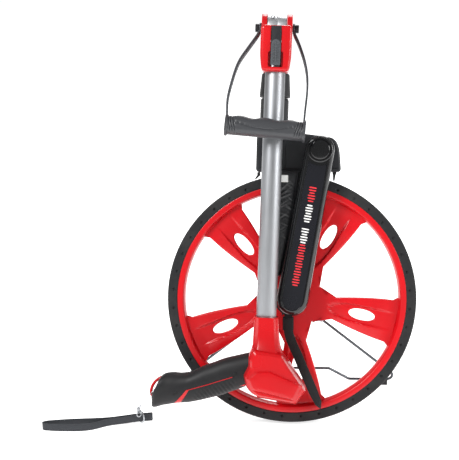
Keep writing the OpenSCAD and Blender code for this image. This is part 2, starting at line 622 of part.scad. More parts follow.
// ---- display face ----
button_places = [[-20, 10], [-8, 10], [-20, -10], [-8, -10]];
module display_frame() color("darkred") on_face() difference() {
    translate([-25, -24, 0]) cube([49, 48, 2.4]);
    translate([0, -18, -1]) cube([20, 36, 5]);
    for (p = button_places) translate([p[0], p[1], -1]) cylinder(d = button_d + 0.3, h = 5);
}
module display_glass() color("lightblue") on_face() translate([0.1, -17.9, 0.4]) cube([19.8, 35.8, 2]);
module display_module() color("darkolivegreen") on_face() translate([-1, -19, 2.4]) cube([22, 38, 3.4]);
module circuit_board() color("green") on_face() difference() {
    translate([-25, -23, 8.6]) cube([48, 46, 1.6]);
    for (s = [-1, 1]) translate([-2, s * 20, 5]) cylinder(r = 1.5, h = 9);
}
module button(i) color("black") on_face() translate([button_places[i][0], button_places[i][1], 0]) {
    translate([0, 0, -1.4]) cylinder(d = button_d, h = 5);
    translate([0, 0, 2.6]) cylinder(d = button_d + 2, h = 1.2);
    translate([0, 0, 3]) cylinder(d = button_d - 3, h = 8.4 - button_travel - 3);
}
module button_1() button(0);
module button_2() button(1);
module button_3() button(2);
module button_4() button(3);

// ---- stand ----
// radius of the yoke's ears round the stand's pin
ear_r = 6;
module stand_yoke() color("black") stood() difference() {
    union() {
        translate([-22, yoke_y, stand_z - ear_r]) cube([44, 4, 26]);
        for (x = [-22, 17.5]) translate([x, 0, 0]) {
            translate([0, yoke_y, stand_z - ear_r]) cube([4.5, stand_y - yoke_y, 2 * ear_r]);
            translate([0, stand_y, stand_z]) rod_x(ear_r, 0, 4.5);
        }
    }
    rod_y(axle_d / 2 + fixed, 0, 60);
    translate([0, stand_y, stand_z]) rod_x(2.5 + fixed, -30, 30);
}
module stand_pin() color("silver") stood() translate([0, stand_y, stand_z]) {
    rod_x(2.5, -23.5, 23.5);
    for (s = [0, 180]) rotate([0, 0, s]) rod_x(4, 22.2, 24);
}
leg_in = 27;
// rod frame: z runs down a leg of the wire, from a point inside the bracket
rod_top = [leg_in + 0.5, -leg_in + 16];
rod_aim = [stand_half, -stand_len];
rod_turn = atan2(rod_aim[0] - rod_top[0], rod_aim[1] - rod_top[1]);
corner_reach = wire_bend / tan((rod_turn - 90) / 2);
arch_bend = 8;
arch_rise = 19.5;
arch_half = 52;
arch_foot = 80;
foot_x = stand_half - corner_reach - 5;
module on_rod(s) translate([s * rod_top[0], 0, rod_top[1]]) rotate([0, s * rod_turn, 0]) children();
module stand_bracket() color("black") on_stand() difference() {
    union() {
        rod_x(5, -17.2, 17.2);
        slab(-4, 4) polygon([[-17.2, 3], [17.2, 3], [leg_in, -2], [leg_in + 13, -leg_in + 11],
            [leg_in + 3, -leg_in + 1], [17, -leg_in + 7], [9, -14], [-9, -14], [-17, -leg_in + 7],
            [-leg_in - 3, -leg_in + 1], [-leg_in - 13, -leg_in + 11], [-leg_in, -2]]);
    }
    rod_x(2.5 + running, -60, 60);
    // room for the yoke's ears, whose corners come round as the stand folds, and for the pin's heads
    for (s = [0, 180]) rotate([0, 0, s]) rod_x(ear_r + 2, 17.3, 24.5);
    for (s = [-1, 1]) on_rod(s) translate([0, 0, 2]) cylinder(d = wire_d + 2 * fixed, h = 60);
    for (s = [-1, 1]) on_rod(s) translate([0, 0, 11.4]) cylinder(d = 14, h = 60);
}
module stand_ferrules() color("silver") on_stand() for (s = [-1, 1]) on_rod(s) translate([0, 0, 11.5]) difference() {
    cylinder(d = 8, h = 8);
    translate([0, 0, -1]) cylinder(d = wire_d + 2 * fixed, h = 12);
}
// the wire's corners in the leg's plane, from one ferrule across to the other, and the bend at each
half_wire = [[arch_half, arch_rise - stand_len], [arch_foot, -stand_len], rod_aim,
    rod_top + 2.2 * (rod_aim - rod_top) / norm(rod_aim - rod_top)];
wire_corners = concat([for (i = [3:-1:0]) [-half_wire[i][0], half_wire[i][1]]], half_wire);
wire_bends = [0, wire_bend, arch_bend, arch_bend, arch_bend, arch_bend, wire_bend, 0];
function way(p, i) = (p[i + 1] - p[i]) / norm(p[i + 1] - p[i]);
function turn_at(p, i) = let (a = way(p, i - 1), b = way(p, i)) atan2(a[0] * b[1] - a[1] * b[0], a * b);
function turned(v, a) = [v[0] * cos(a) - v[1] * sin(a), v[0] * sin(a) + v[1] * cos(a)];
// each stop is a point and the way the wire runs there
function bend_stops(p, r, i, n) = let (t = turn_at(p, i), a = way(p, i - 1), start = p[i] - a * r * tan(abs(t) / 2),
    c = start + r * turned(a, sign(t) * 90)) [for (k = [0:n]) [c + turned(start - c, t * k / n), turned(a, t * k / n)]];
function wire_stops(p, r, n) = concat([[p[0], way(p, 0)]],
    [for (i = [1:len(p) - 2]) each bend_stops(p, r[i], i, n)], [[p[len(p) - 1], way(p, len(p) - 2)]]);
module bent_wire(p, r, sides) {
    stops = wire_stops(p, r, 7);
    last = sides * (len(stops) - 1);
    points = [for (s = stops, k = [0:sides - 1]) let (across = wire_d / 2 * cos(360 * k / sides))
        [s[0][0] - across * s[1][1], wire_d / 2 * sin(360 * k / sides), s[0][1] + across * s[1][0]]];
    walls = [for (i = [0:len(stops) - 2], k = [0:sides - 1]) each let (a = i * sides + k, b = i * sides + (k + 1) % sides)
        [[a, b + sides, b], [a, a + sides, b + sides]]];
    polyhedron(points, concat(walls, [for (k = [1:sides - 2]) [0, k, k + 1]],
        [for (k = [1:sides - 2]) [last, last + k + 1, last + k]]));
}
module stand_wire() color("silver") on_stand() bent_wire(wire_corners, wire_bends, 16);
module stand_feet() color("black") on_stand() for (s = [-1, 1]) translate([s * foot_x, 0, -stand_len]) difference() {
    rotate([lean - splay, 0, 0]) {
        translate([-6, -5, -foot_r]) cube([12, 10, foot_r]);
        rod_x(5, -6, 6);
    }
    rod_x(wire_d / 2 + fixed, -20, 20);
}

// ---- carry strap ----
strap_x = -13;
pad_back = -15;
pad_front = -32;
pad_points = [[-34, crown_z - 1.5], [9, crown_z - 1.5], [-1.5, 100], [-13.5, 42], [-18, 31], [-31, 31], [-36, 60],
    [-36, 120]];
module strap_pad() color("dimgray") stood() {
    slab(pad_front, pad_back) polygon(pad_points);
    translate([strap_x - 14, -fork_half + 0.3, crown_z - 3]) cube([28, 2.6, 11.5]);
}
module strap_label() color("white") stood()
    translate([-13.3, pad_front - 0.5, crown_z - 12.4]) cube([8.8, 0.5, 8.8]);
module strap_anchor() color("black") stood() slab_x(strap_tab_x - 5, strap_tab_x + 5) difference() {
    union() {
        translate([anchor_y, anchor_z]) circle(r = 2.5);
        translate([anchor_y, buckle_top]) circle(r = 2.5);
        translate([anchor_y - 2.5, buckle_top]) square([5, anchor_z - buckle_top]);
    }
    translate([anchor_y, anchor_z]) circle(r = 1.5);
    translate([anchor_y, buckle_top]) circle(r = 1.5);
    translate([anchor_y - 1.5, buckle_top]) square([3, anchor_z - buckle_top]);
}
module strap_buckle() color("black") stood() translate([strap_tab_x, anchor_y, 0]) {
    for (z = [buckle_top, -31, -38]) translate([0, 0, z]) rod_x(1.2, -7, 7);
    for (x = [-7, 5.3]) translate([x, -2, -39.4]) cube([1.7, 4, 17.6]);
}
// route of the webbing's middle, with the turn of its width out of the wheel's plane
tail_route = [[-4, -18, -30], [-3.6, -18.4, -42], [1, -17, -54], [8, -16, -71], [16, -15.8, -90], [23, -15.8, -106],
    [29, -16, -120], [34, -17, -131], [38, -18, -141]];
tail_turn = [0, 0, 0, 0, 0, 10, 25, 55, 85];
tail_half = 6;
tail_t = 1.2;
function tail_ring(i) = let (p = tail_route, n = len(p), a = p[max(i - 1, 0)], b = p[min(i + 1, n - 1)],
    d = (b - a) / norm(b - a), u = cross(d, [0, 1, 0]) / norm(cross(d, [0, 1, 0])), v = cross(u, d),
    w = u * cos(tail_turn[i]) + v * sin(tail_turn[i]), t = cross(w, d))
    [for (s = [[1, 1], [-1, 1], [-1, -1], [1, -1]]) p[i] + w * s[0] * tail_half + t * s[1] * tail_t / 2];
// the skin of a bar with four sided sections
function skin(n) = concat([[2, 1, 0], [3, 2, 0]],
    [for (i = [0:n - 2], j = [0:3]) each let (a = 4 * i + j, b = 4 * i + (j + 1) % 4) [[a, b, b + 4], [a, b + 4, a + 4]]],
    [[4 * n - 4, 4 * n - 3, 4 * n - 2], [4 * n - 4, 4 * n - 2, 4 * n - 1]]);
module strap_webbing() color("black") stood()
    polyhedron([for (i = [0:len(tail_route) - 1]) each tail_ring(i)], skin(len(tail_route)), convexity = 4);

// ---- lanyard, lying on the ground ----
module on_ground() translate([centre_x, centre_y, 0]) children();
// route of the webbing on edge: x, y and the height of its lower edge
lanyard_route = [[-180, -41.8, 2.6], [-198, -45.4, 2.6], [-216, -49, 1.4], [-234, -52.2, 0.3], [-250, -55, 0.3],
    [-270, -57, 0.3], [-290, -59.4, 0.3], [-306, -62.2, 0.3], [-315, -64.4, 0.3], [-319.4, -67.6, 0.3],
    [-318, -71, 0.3], [-311, -72.6, 0.3], [-298, -73.6, 0.3], [-284, -73.9, 0.3], [-270, -73, 0.3], [-258, -70.2, 0.3],
    [-248.5, -65.4, 0.3], [-241, -60.4, 0.3], [-232, -56.6, 0.6], [-216, -53, 1.4], [-198, -49.3, 2.6], [-180, -45.7, 2.6]];
function lanyard_ring_at(i) = let (p = lanyard_route, n = len(p), a = p[max(i - 1, 0)], b = p[min(i + 1, n - 1)],
    d = [b[0] - a[0], b[1] - a[1]], u = [-d[1], d[0]] / norm(d) * lanyard_t / 2, q = p[i])
    [[q[0] + u[0], q[1] + u[1], q[2]], [q[0] - u[0], q[1] - u[1], q[2]],
     [q[0] - u[0], q[1] - u[1], q[2] + lanyard_w], [q[0] + u[0], q[1] + u[1], q[2] + lanyard_w]];
module lanyard_webbing() color("black") on_ground()
    polyhedron([for (i = [0:len(lanyard_route) - 1]) each lanyard_ring_at(i)], skin(len(lanyard_route)), convexity = 6);
ring_big = 8.4;
ring_wire = 1.6;
ring_at = [-195, -47, ring_big + ring_wire / 2 + 0.2];
module lanyard_ring() color("silver") on_ground() translate(ring_at) rotate([0, 0, -53]) rotate([90, 0, 0])
    rotate_extrude() translate([ring_big, 0]) circle(d = ring_wire, $fn = 16);
// the swivel hangs between the split ring and the wire loop, in the head frame
swivel_top = [-160.3, 28, -146.7];
swivel_low = [-160.1, 35.6, -152.4];
module rod(p, q, r) {
    d = q - p;
    translate(p) rotate([0, acos(d[2] / norm(d)), atan2(d[1], d[0])]) cylinder(r = r, h = norm(d), $fn = 20);
}
module lanyard_swivel() color("silver") on_head() {
    rod(swivel_top, swivel_low, 2.2);
    translate(swivel_low) rotate([0, 0, 37]) rotate([90, 0, 0]) translate([0, -3.4, 0]) rotate_extrude()
        translate([3.2, 0]) circle(r = 0.7, $fn = 16);
}
wire_r = 0.5;
// the wire loop runs up from the swivel, through the lug and back
wire_route = [[-159.2, 27.4, -146], [-154, 16, -138.4], [-148.5, 4.6, -130.4], [-143.4, -2.8, -122.6],
    [-139.8, -4.2, -118.2], [-137.4, -3.4, -115.6], [-136.6, 0, -114.6], [-137.4, 3.4, -115.6], [-139.8, 4.4, -118.6],
    [-143.6, 5.4, -123.2], [-149.2, 10, -131.5], [-155, 19, -139.3], [-161, 28, -145.4]];
// a round wire along points that lie near the plane with the normal flat
module wire(p, flat, r, sides) {
    last = sides * (len(p) - 1);
    rings = [for (i = [0:len(p) - 1]) let (d = along(p, i), u = cross(d, flat) / norm(cross(d, flat)), v = cross(d, u))
        each [for (k = [0:sides - 1]) p[i] + r * (u * cos(360 * k / sides) + v * sin(360 * k / sides))]];
    walls = [for (i = [0:len(p) - 2], k = [0:sides - 1]) each let (a = i * sides + k, b = i * sides + (k + 1) % sides)
        [[a, b, b + sides], [a, b + sides, a + sides]]];
    polyhedron(rings, concat(walls, [for (k = [1:sides - 2]) [0, k + 1, k]],
        [for (k = [1:sides - 2]) [last, last + k, last + k + 1]]));
}
module lanyard_wire() color("silver") on_head() wire(wire_route, [0.8, 0, -0.6], wire_r, 8);

tyre();
wheel();
wheel_bearings();
encoder_ring();
crown_front();
crown_rear();
crown_screws();
tyre_scrapers();
arm_front_shell();
arm_front_cover();
arm_front_panel();
arm_front_cap();
arm_rear_shell();
arm_bolt();
arm_bolt_nut();
axle();
axle_nuts();
sensor_board();
lower_tube();
pole_stem();
stem_sleeve();
lower_knuckle();
fold_pin();
stand_yoke();
stand_pin();
strap_pad();
strap_label();
strap_anchor();
strap_buckle();
strap_webbing();
upper_knuckle();
upper_tube();
latch_pin();
latch_spring();
head_front();
head_rear();
grip_rubber();
grip_screws();
side_cover();
battery_cells();
display_frame();
display_glass();
display_module();
circuit_board();
lanyard_wire();
lanyard_swivel();
lanyard_ring();
lanyard_webbing();
latch_lever();
bail_strip();
bail_grip();
button_1();
button_2();
button_3();
button_4();
stand_bracket();
stand_ferrules();
stand_wire();
stand_feet();
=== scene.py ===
"""Looks of a folding measuring wheel, shown folded and leaning on its wire stand.

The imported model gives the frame: every sub-assembly is drawn in a Place, which is worked out from the
joints' axes, in millimetres, and comes out in metres in the row's own frame.
"""
import json
import logging
import math
from dataclasses import dataclass, field
from enum import Enum
from typing import Callable, Iterable, Sequence

import bmesh
import bpy
import numpy as np
from mathutils import Matrix, Vector

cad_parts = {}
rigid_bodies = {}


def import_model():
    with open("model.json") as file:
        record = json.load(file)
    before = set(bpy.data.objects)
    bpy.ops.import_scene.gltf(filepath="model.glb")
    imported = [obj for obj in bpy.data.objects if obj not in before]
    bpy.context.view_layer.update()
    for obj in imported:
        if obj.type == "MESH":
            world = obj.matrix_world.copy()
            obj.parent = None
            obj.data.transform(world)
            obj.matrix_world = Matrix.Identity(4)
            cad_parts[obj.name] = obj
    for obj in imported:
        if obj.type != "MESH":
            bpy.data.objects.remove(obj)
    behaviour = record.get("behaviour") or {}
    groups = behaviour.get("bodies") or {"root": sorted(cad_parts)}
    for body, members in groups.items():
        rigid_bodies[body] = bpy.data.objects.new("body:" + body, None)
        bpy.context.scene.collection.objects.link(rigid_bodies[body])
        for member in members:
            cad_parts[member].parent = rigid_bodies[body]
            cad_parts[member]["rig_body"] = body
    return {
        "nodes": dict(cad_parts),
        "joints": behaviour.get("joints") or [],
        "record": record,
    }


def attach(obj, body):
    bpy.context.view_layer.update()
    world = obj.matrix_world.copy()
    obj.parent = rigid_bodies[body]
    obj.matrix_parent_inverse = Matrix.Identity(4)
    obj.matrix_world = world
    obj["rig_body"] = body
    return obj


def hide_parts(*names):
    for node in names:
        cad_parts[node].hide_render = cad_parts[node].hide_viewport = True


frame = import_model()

Array = np.ndarray
Value = bpy.types.NodeSocket | float | Sequence[float]
LOG = logging.getLogger("measuring_wheel")
MM = 0.001
BEVEL_FROM = 24  # degrees between two faces from which an edge gets its bevel
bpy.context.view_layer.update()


# ---------------------------------------------------------------- places


@dataclass(frozen=True)
class Place:
    """A frame to draw in: an origin in metres and three axes, one a row."""

    origin: Array
    axes: Array

    def at(self, points: Array) -> Array:
        """Returns points given in millimetres of this place as metres of the row's frame."""
        return self.origin + MM * (np.asarray(points, float) @ self.axes)

    def moved(self, x: float, y: float, z: float) -> "Place":
        """Returns this place moved by x, y and z millimetres along its own axes."""
        return Place(self.at(np.array([x, y, z])), self.axes)

    def turned(self, axis: int, degrees: float) -> "Place":
        """Returns this place turned about one of its own axes by the right-hand rule.

        Args:
            axis: 0, 1 or 2 for x, y or z.
            degrees: the angle.

        Returns:
            The turned place, with the same origin.
        """
        a, b = (axis + 1) % 3, (axis + 2) % 3
        c, s = math.cos(math.radians(degrees)), math.sin(math.radians(degrees))
        axes = self.axes.copy()
        axes[a] = c * self.axes[a] + s * self.axes[b]
        axes[b] = c * self.axes[b] - s * self.axes[a]
        return Place(self.origin, axes)


def joint(name: str) -> dict:
    """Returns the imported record's joint of that name."""
    return next(j for j in frame["joints"] if j["name"] == name)


@dataclass(frozen=True)
class Sizes:
    """Driving sizes of the wheel and its frame, in millimetres and degrees, as the design gives them."""

    wheel_r: float = 1000 / (2 * math.pi)
    tyre_t: float = 12.8
    half_w: float = 11.0
    fork_half: float = 19.0
    front_y: float = -35.0
    cover_y: float = -41.0
    fold_y: float = -25.0
    fold_z: float = 342.5
    pitch: float = 50.0
    tube_r: float = 12.5
    arm_r1: float = 20.0
    arm_r2: float = 18.3
    arm_len: float = 191.0
    arm_tilt: float = 10.25
    bail_lean: float = 21.5
    stand_len: float = 131.5


SIZE = Sizes()


def places() -> dict[str, Place]:
    """Returns the places of the sub-assemblies, worked out from the joints' points and axes."""
    spin, fold, leg = joint("wheel_spin"), joint("pole_fold"), joint("stand_fold")
    across = np.array([1.0, 0.0, 0.0])
    along = np.array(spin["axis"], float)
    along /= np.linalg.norm(along)
    stood = Place(np.array(spin["pos_m"]), np.array([across, along, np.cross(across, along)]))
    side = -np.array(fold["axis"], float)
    side /= np.linalg.norm(side)
    axes = np.array([side, along, np.cross(side, along)])
    pole = Place(np.array(fold["pos_m"]), axes).moved(0, -SIZE.fold_y, -SIZE.fold_z)
    head = pole.moved(0, -SIZE.pitch, 0)
    sole = np.array(frame["record"]["mounts"][0]["pos_m"]) - np.array(leg["pos_m"])
    reach = (sole + [0, 0, 7 * MM]) @ stood.axes.T
    splay = math.degrees(math.atan2(reach[1], -reach[2]))
    return {
        "ground": Place(stood.origin * [1, 1, 0], np.eye(3)),
        "stood": stood,
        "arm": stood.moved(1.2, 0, 2.5).turned(1, SIZE.arm_tilt),
        "pole": pole,
        "head": head,
        "face": head.moved(17, 0, -118.6).turned(1, 7.9),
        "bail": pole.moved(0, SIZE.fold_y, SIZE.fold_z).turned(0, -SIZE.bail_lean),
        "stand": Place(np.array(leg["pos_m"]), stood.axes).turned(0, splay),
    }


PLACE = places()


# ---------------------------------------------------------------- shapes worked out as arrays


def ramp(x: Array, low: float, high: float) -> Array:
    """Returns a smooth step of x: 0 up to low, 1 from high on, and 3t^2 - 2t^3 between.

    Args:
        x: the numbers.
        low: where the step starts.
        high: where it is done.

    Returns:
        Numbers from 0 to 1.
    """
    t = np.clip((x - low) / (high - low), 0, 1)
    return t * t * (3 - 2 * t)


def curve(points: Sequence, count: int) -> Array:
    """Carries a smooth cubic through points, with each tangent taken from the neighbours.

    Args:
        points: the points to pass through, in order.
        count: how many points to return, evenly spaced along the chords.

    Returns:
        An array of count points.
    """
    p = np.asarray(points, float)
    s = np.concatenate([[0], np.cumsum(np.linalg.norm(np.diff(p, axis=0), axis=1))])
    m = np.gradient(p, s, axis=0)
    t = np.linspace(0, s[-1], count)
    i = np.clip(np.searchsorted(s, t, "right") - 1, 0, len(p) - 2)
    h = (s[i + 1] - s[i])[:, None]
    u = (t - s[i])[:, None] / h
    return ((2 * u**3 - 3 * u**2 + 1) * p[i] + (u**3 - 2 * u**2 + u) * h * m[i]
            + (3 * u**2 - 2 * u**3) * p[i + 1] + (u**3 - u**2) * h * m[i + 1])


def ring_way(p: Array) -> Array:
    """Returns the outward unit normals of the sides of a closed outline, whichever way it runs.

    Args:
        p: the outline (N, 2).

    Returns:
        Normals (N, 2), one for the side after each corner.
    """
    d = np.roll(p, -1, axis=0) - p
    area = np.sum(p[:, 0] * np.roll(p[:, 1], -1) - p[:, 1] * np.roll(p[:, 0], -1))
    n = np.stack([d[:, 1], -d[:, 0]], axis=1) * np.sign(area)
    return n / np.maximum(np.linalg.norm(n, axis=1, keepdims=True), 1e-9)


def inset(outline: Array, by: float) -> Array:
    """Moves each corner of a closed outline inwards along its mitre, so that every side moves in by the
    same amount.

    Args:
        outline: the corners (N, 2).
        by: how far each side moves in.

    Returns:
        The moved corners.
    """
    p = np.asarray(outline, float)
    n = ring_way(p)
    before = np.roll(n, 1, axis=0)
    mitre = (n + before) / (1 + np.sum(n * before, axis=1, keepdims=True))
    return p - by * mitre


def rounded(outline: Sequence, radius: float, steps: int = 4, closed: bool = True) -> Array:
    """Rounds each corner with a parabola between the points that lie radius before and after it.

    Args:
        outline: the corners.
        radius: how far from the corner the rounding starts, at most 0.45 of a side.
        steps: how many points each corner gets.
        closed: whether the last corner joins the first.

    Returns:
        The rounded outline.
    """
    p = np.asarray(outline, float)
    before, after = np.roll(p, 1, axis=0) - p, np.roll(p, -1, axis=0) - p
    lb = np.linalg.norm(before, axis=1, keepdims=True)
    la = np.linalg.norm(after, axis=1, keepdims=True)
    a = p + before * np.minimum(radius / np.maximum(lb, 1e-9), 0.45)
    b = p + after * np.minimum(radius / np.maximum(la, 1e-9), 0.45)
    t = np.linspace(0, 1, steps)[None, :, None]
    arcs = (1 - t) ** 2 * a[:, None] + 2 * t * (1 - t) * p[:, None] + t**2 * b[:, None]
    if closed:
        return arcs.reshape(-1, p.shape[1])
    return np.concatenate([p[:1], arcs[1:-1].reshape(-1, p.shape[1]), p[-1:]])


def circle(radius: float, count: int = 32, x: float = 0.0, y: float = 0.0) -> Array:
    """Returns count points of a circle round (x, y).

    Args:
        radius: its radius.
        count: how many points.
        x: its middle.
        y: its middle.

    Returns:
        Points (count, 2).
    """
    a = np.arange(count) * 2 * math.pi / count
    return np.stack([x + radius * np.cos(a), y + radius * np.sin(a)], axis=1)


def superellipse(a: float, b: float, power: float, count: int) -> Array:
    """Returns a closed curve where |x/a|^power + |y/b|^power is 1, for a rounded rectangle.

    Args:
        a: half its width.
        b: half its height.
        power: 2 for an ellipse, more for squarer corners.
        count: how many points.

    Returns:
        Points (count, 2).
    """
    t = np.arange(count) * 2 * math.pi / count
    c, s = np.cos(t), np.sin(t)
    return np.stack([a * np.sign(c) * np.abs(c) ** (2 / power), b * np.sign(s) * np.abs(s) ** (2 / power)],
                    axis=1)


def sweep(path: Array, section: Array, flat: Sequence[float], twist: Array | None = None) -> Array:
    """Carries a section along a path, square to it.

    Args:
        path: points (P, 3).
        section: points (Q, 2): the first number is across, along path x flat, and the second is near flat.
        flat: a direction that the path never follows, or one for each of its points.
        twist: an angle in radians at each point of the path, by which the section turns.

    Returns:
        A grid of points (Q, P, 3).
    """
    way = np.gradient(path, axis=0)
    way /= np.linalg.norm(way, axis=1, keepdims=True)
    across = np.cross(way, np.broadcast_to(np.asarray(flat, float), path.shape))
    across /= np.linalg.norm(across, axis=1, keepdims=True)
    up = np.cross(across, way)
    if twist is not None:
        c, s = np.cos(twist)[:, None], np.sin(twist)[:, None]
        across, up = c * across + s * up, c * up - s * across
    return path[None] + section[:, None, :1] * across[None] + section[:, None, 1:] * up[None]


def revolved(profile: Array, count: int) -> Array:
    """Turns a profile of (radius, height) points about the third axis: a grid (count, len(profile), 3).

    Args:
        profile: points (N, 2).
        count: how many steps round.

    Returns:
        The grid of points.
    """
    a = np.arange(count)[:, None] * 2 * math.pi / count
    r, h = profile[None, :, 0], profile[None, :, 1]
    return np.stack([r * np.cos(a), r * np.sin(a), h + 0 * a], axis=2)


def upright(outline: Array, depth: float | Array) -> Array:
    """Stands an outline of (x, z) points at a depth along y."""
    return np.stack([outline[:, 0], np.broadcast_to(depth, len(outline)), outline[:, 1]], axis=1)


def on_y(points: Array) -> Array:
    """Turns a shape that was made about the third axis so that the axis points along -y, the front."""
    return points[..., [0, 2, 1]] * [1, -1, 1]


def along_x(points: Array) -> Array:
    """Turns a shape that was made about the third axis so that the axis points along x."""
    return points[..., [2, 0, 1]]


class Body(Enum):
    """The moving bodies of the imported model."""

    FORK = "fork"
    WHEEL = "wheel"
    HANDLE = "handle"
    LATCH = "latch"
    BAIL = "bail"
    STAND = "stand"
    KEY_1 = "button_1"
    KEY_2 = "button_2"
    KEY_3 = "button_3"
    KEY_4 = "button_4"


@dataclass
class Shell:
    """Points and faces of one piece while it is put together, in millimetres of a place."""

    place: Place
    points: list[Array] = field(default_factory=list)
    quads: list[Array] = field(default_factory=list)
    caps: list[list[int]] = field(default_factory=list)
    flow: list[Array] = field(default_factory=list)
    count: int = 0

    def grid(self, p: Array, wrap: bool = True, loop: bool = False, capped: bool = True,
             flow: Array | None = None) -> "Shell":
        """Adds a grid surface p of shape (U, V, 3).

        Args:
            p: the grid of points.
            wrap: whether the last row of U joins the first.
            loop: whether the last column of V joins the first.
            capped: whether the rings at both ends of V are closed with a face; only where V is open.
            flow: numbers (U, V, 2) for a pattern that follows the surface, in millimetres.

        Returns:
            This shell.
        """
        u, v = p.shape[:2]
        ids = np.arange(u * v).reshape(u, v) + self.count
        a = np.concatenate([ids, ids[:1]]) if wrap else ids
        a = np.concatenate([a, a[:, :1]], axis=1) if loop else a
        self.quads.append(np.stack([a[:-1, :-1], a[1:, :-1], a[1:, 1:], a[:-1, 1:]], axis=-1).reshape(-1, 4))
        if capped and wrap and not loop:
            self.caps += [ids[::-1, 0].tolist(), ids[:, -1].tolist()]
        self.points.append(p.reshape(-1, 3))
        self.flow.append((np.zeros((u, v, 2)) if flow is None else flow).reshape(-1, 2))
        self.count += u * v
        return self

    def slab(self, outline: Array, rings: Sequence[tuple[float, float]]) -> "Shell":
        """Adds a slab with shaped edges: the outline moved inwards by the first number at the depth y of
        the second.

        Args:
            outline: the outline (N, 2).
            rings: an inset and a depth y for each ring.

        Returns:
            This shell.
        """
        p = np.stack([upright(inset(outline, by), depth) for by, depth in rings], axis=1)
        return self.grid(p)

    def block(self, corners: Sequence, radius: float, rings: Sequence[tuple[float, float]],
              steps: int = 5) -> "Shell":
        """Adds a slab whose corners are rounded after each ring's inset, so that its rings never cross
        themselves.

        Args:
            corners: the outline's corners.
            radius: the corners' rounding.
            rings: an inset and a depth y for each ring.
            steps: how many points each corner gets.

        Returns:
            This shell.
        """
        p = [upright(rounded(inset(corners, by), max(radius - 0.6 * by, 0.35), steps), depth) for by,
             depth in rings]
        return self.grid(np.stack(p, axis=1))

    def dome(self, corners: Sequence, radius: float, middle: Sequence[float],
             rings: Sequence[tuple[float, float]], steps: int = 5) -> "Shell":
        """Adds a slab whose rings are the rounded outline, shrunk by the first number towards a middle
        point.

        Args:
            corners: the outline's corners.
            radius: the corners' rounding.
            middle: the point that the rings shrink towards.
            rings: a share and a depth y for each ring.
            steps: how many points each corner gets.

        Returns:
            This shell.
        """
        line, mid = rounded(corners, radius, steps), np.asarray(middle, float)
        return self.grid(np.stack([upright(mid + (line - mid) * share, depth) for share, depth in rings],
                                  axis=1))

    def tube(self, path: Array, radius: float, flat: Sequence[float], count: int = 16) -> "Shell":
        """Adds a round bar along a path."""
        return self.grid(sweep(path, circle(radius, count), flat))

    def lathe(self, profile: Sequence, count: int = 64, turn: Callable[[Array], Array] | None = None,
              shift: Sequence[float] = (0, 0, 0), loop: bool = False) -> "Shell":
        """Adds a turned shape: a profile of (radius, height), laid along z, or along y or x with turn.

        Args:
            profile: points of (radius, height).
            count: how many steps round.
            turn: on_y or along_x, or None to stay along z.
            shift: how far to move the shape, after turning it.
            loop: whether the profile is closed.

        Returns:
            This shell.
        """
        p = revolved(np.asarray(profile, float), count)
        p = turn(p) if turn else p
        return self.grid(p + np.asarray(shift, float), loop=loop)

    def piece(self, name: str, finish: "Finish", body: Body, stands_for: Iterable[str] = (), bevel: float = 0,
              sharp: float = 32, slot: str | None = None) -> bpy.types.Object:
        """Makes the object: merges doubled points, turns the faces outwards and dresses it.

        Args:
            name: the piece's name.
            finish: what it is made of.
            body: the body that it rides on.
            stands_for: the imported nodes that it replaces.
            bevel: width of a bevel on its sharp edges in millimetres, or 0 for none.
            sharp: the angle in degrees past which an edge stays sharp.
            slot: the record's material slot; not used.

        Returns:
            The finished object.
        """
        mesh = bpy.data.meshes.new(name)
        quads = np.concatenate(self.quads).tolist() if self.quads else []
        mesh.from_pydata(self.place.at(np.concatenate(self.points)).tolist(), [], quads + self.caps)
        flow = mesh.attributes.new("flow", "FLOAT_VECTOR", "POINT")
        numbers = np.pad(np.concatenate(self.flow), ((0, 0), (0, 1)))
        flow.data.foreach_set("vector", numbers.astype(np.float32).ravel())
        settle(mesh, sharp)
        return dress(name, mesh, finish, body, stands_for, bevel)


def settle(mesh: bpy.types.Mesh, sharp: float, merge: float = 2e-6, flatten: bool = False) -> None:
    """Merges doubled points, turns the faces outwards and shades smooth up to an angle.

    Args:
        mesh: the mesh to change.
        sharp: the angle in degrees past which an edge stays sharp.
        merge: how near points are merged, in metres.
        flatten: whether faces that lie in one plane are joined.
    """
    work = bmesh.new()
    work.from_mesh(mesh)
    bmesh.ops.remove_doubles(work, verts=work.verts, dist=merge)
    bmesh.ops.dissolve_degenerate(work, edges=work.edges, dist=merge)
    if flatten:
        bmesh.ops.dissolve_limit(work, angle_limit=math.radians(0.5), verts=work.verts, edges=work.edges)
    bmesh.ops.recalc_face_normals(work, faces=work.faces)
    work.to_mesh(mesh)
    work.free()
    mesh.shade_smooth()
    mesh.set_sharp_from_angle(angle=math.radians(sharp))


def dress(name: str, mesh: bpy.types.Mesh, finish: "Finish", body: Body, stands_for: Iterable[str] = (),
          bevel: float = 0) -> bpy.types.Object:
    """Makes an object of a finished mesh, gives it its finish and lets it ride on its body.

    Args:
        name: the piece's name.
        mesh: its mesh, in metres of the row's frame.
        finish: what it is made of.
        body: the body that it rides on.
        stands_for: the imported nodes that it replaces.
        bevel: width of a bevel on its sharp edges in millimetres, or 0 for none.

    Returns:
        The object.
    """
    piece = bpy.data.objects.new(name, mesh)
    bpy.context.scene.collection.objects.link(piece)
    mesh.materials.clear()
    mesh.materials.append(finish.material())
    if bevel:
        edge = piece.modifiers.new("edges", "BEVEL")
        edge.width = bevel * MM
        edge.segments = 2
        edge.limit_method = "ANGLE"
        edge.angle_limit = math.radians(BEVEL_FROM)
        edge.harden_normals = True
        edge.use_clamp_overlap = True
    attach(piece, body.value)
    if stands_for:
        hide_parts(*stands_for)
    LOG.info("%s: %d faces, on %s", name, len(mesh.polygons), body.value)
    return piece


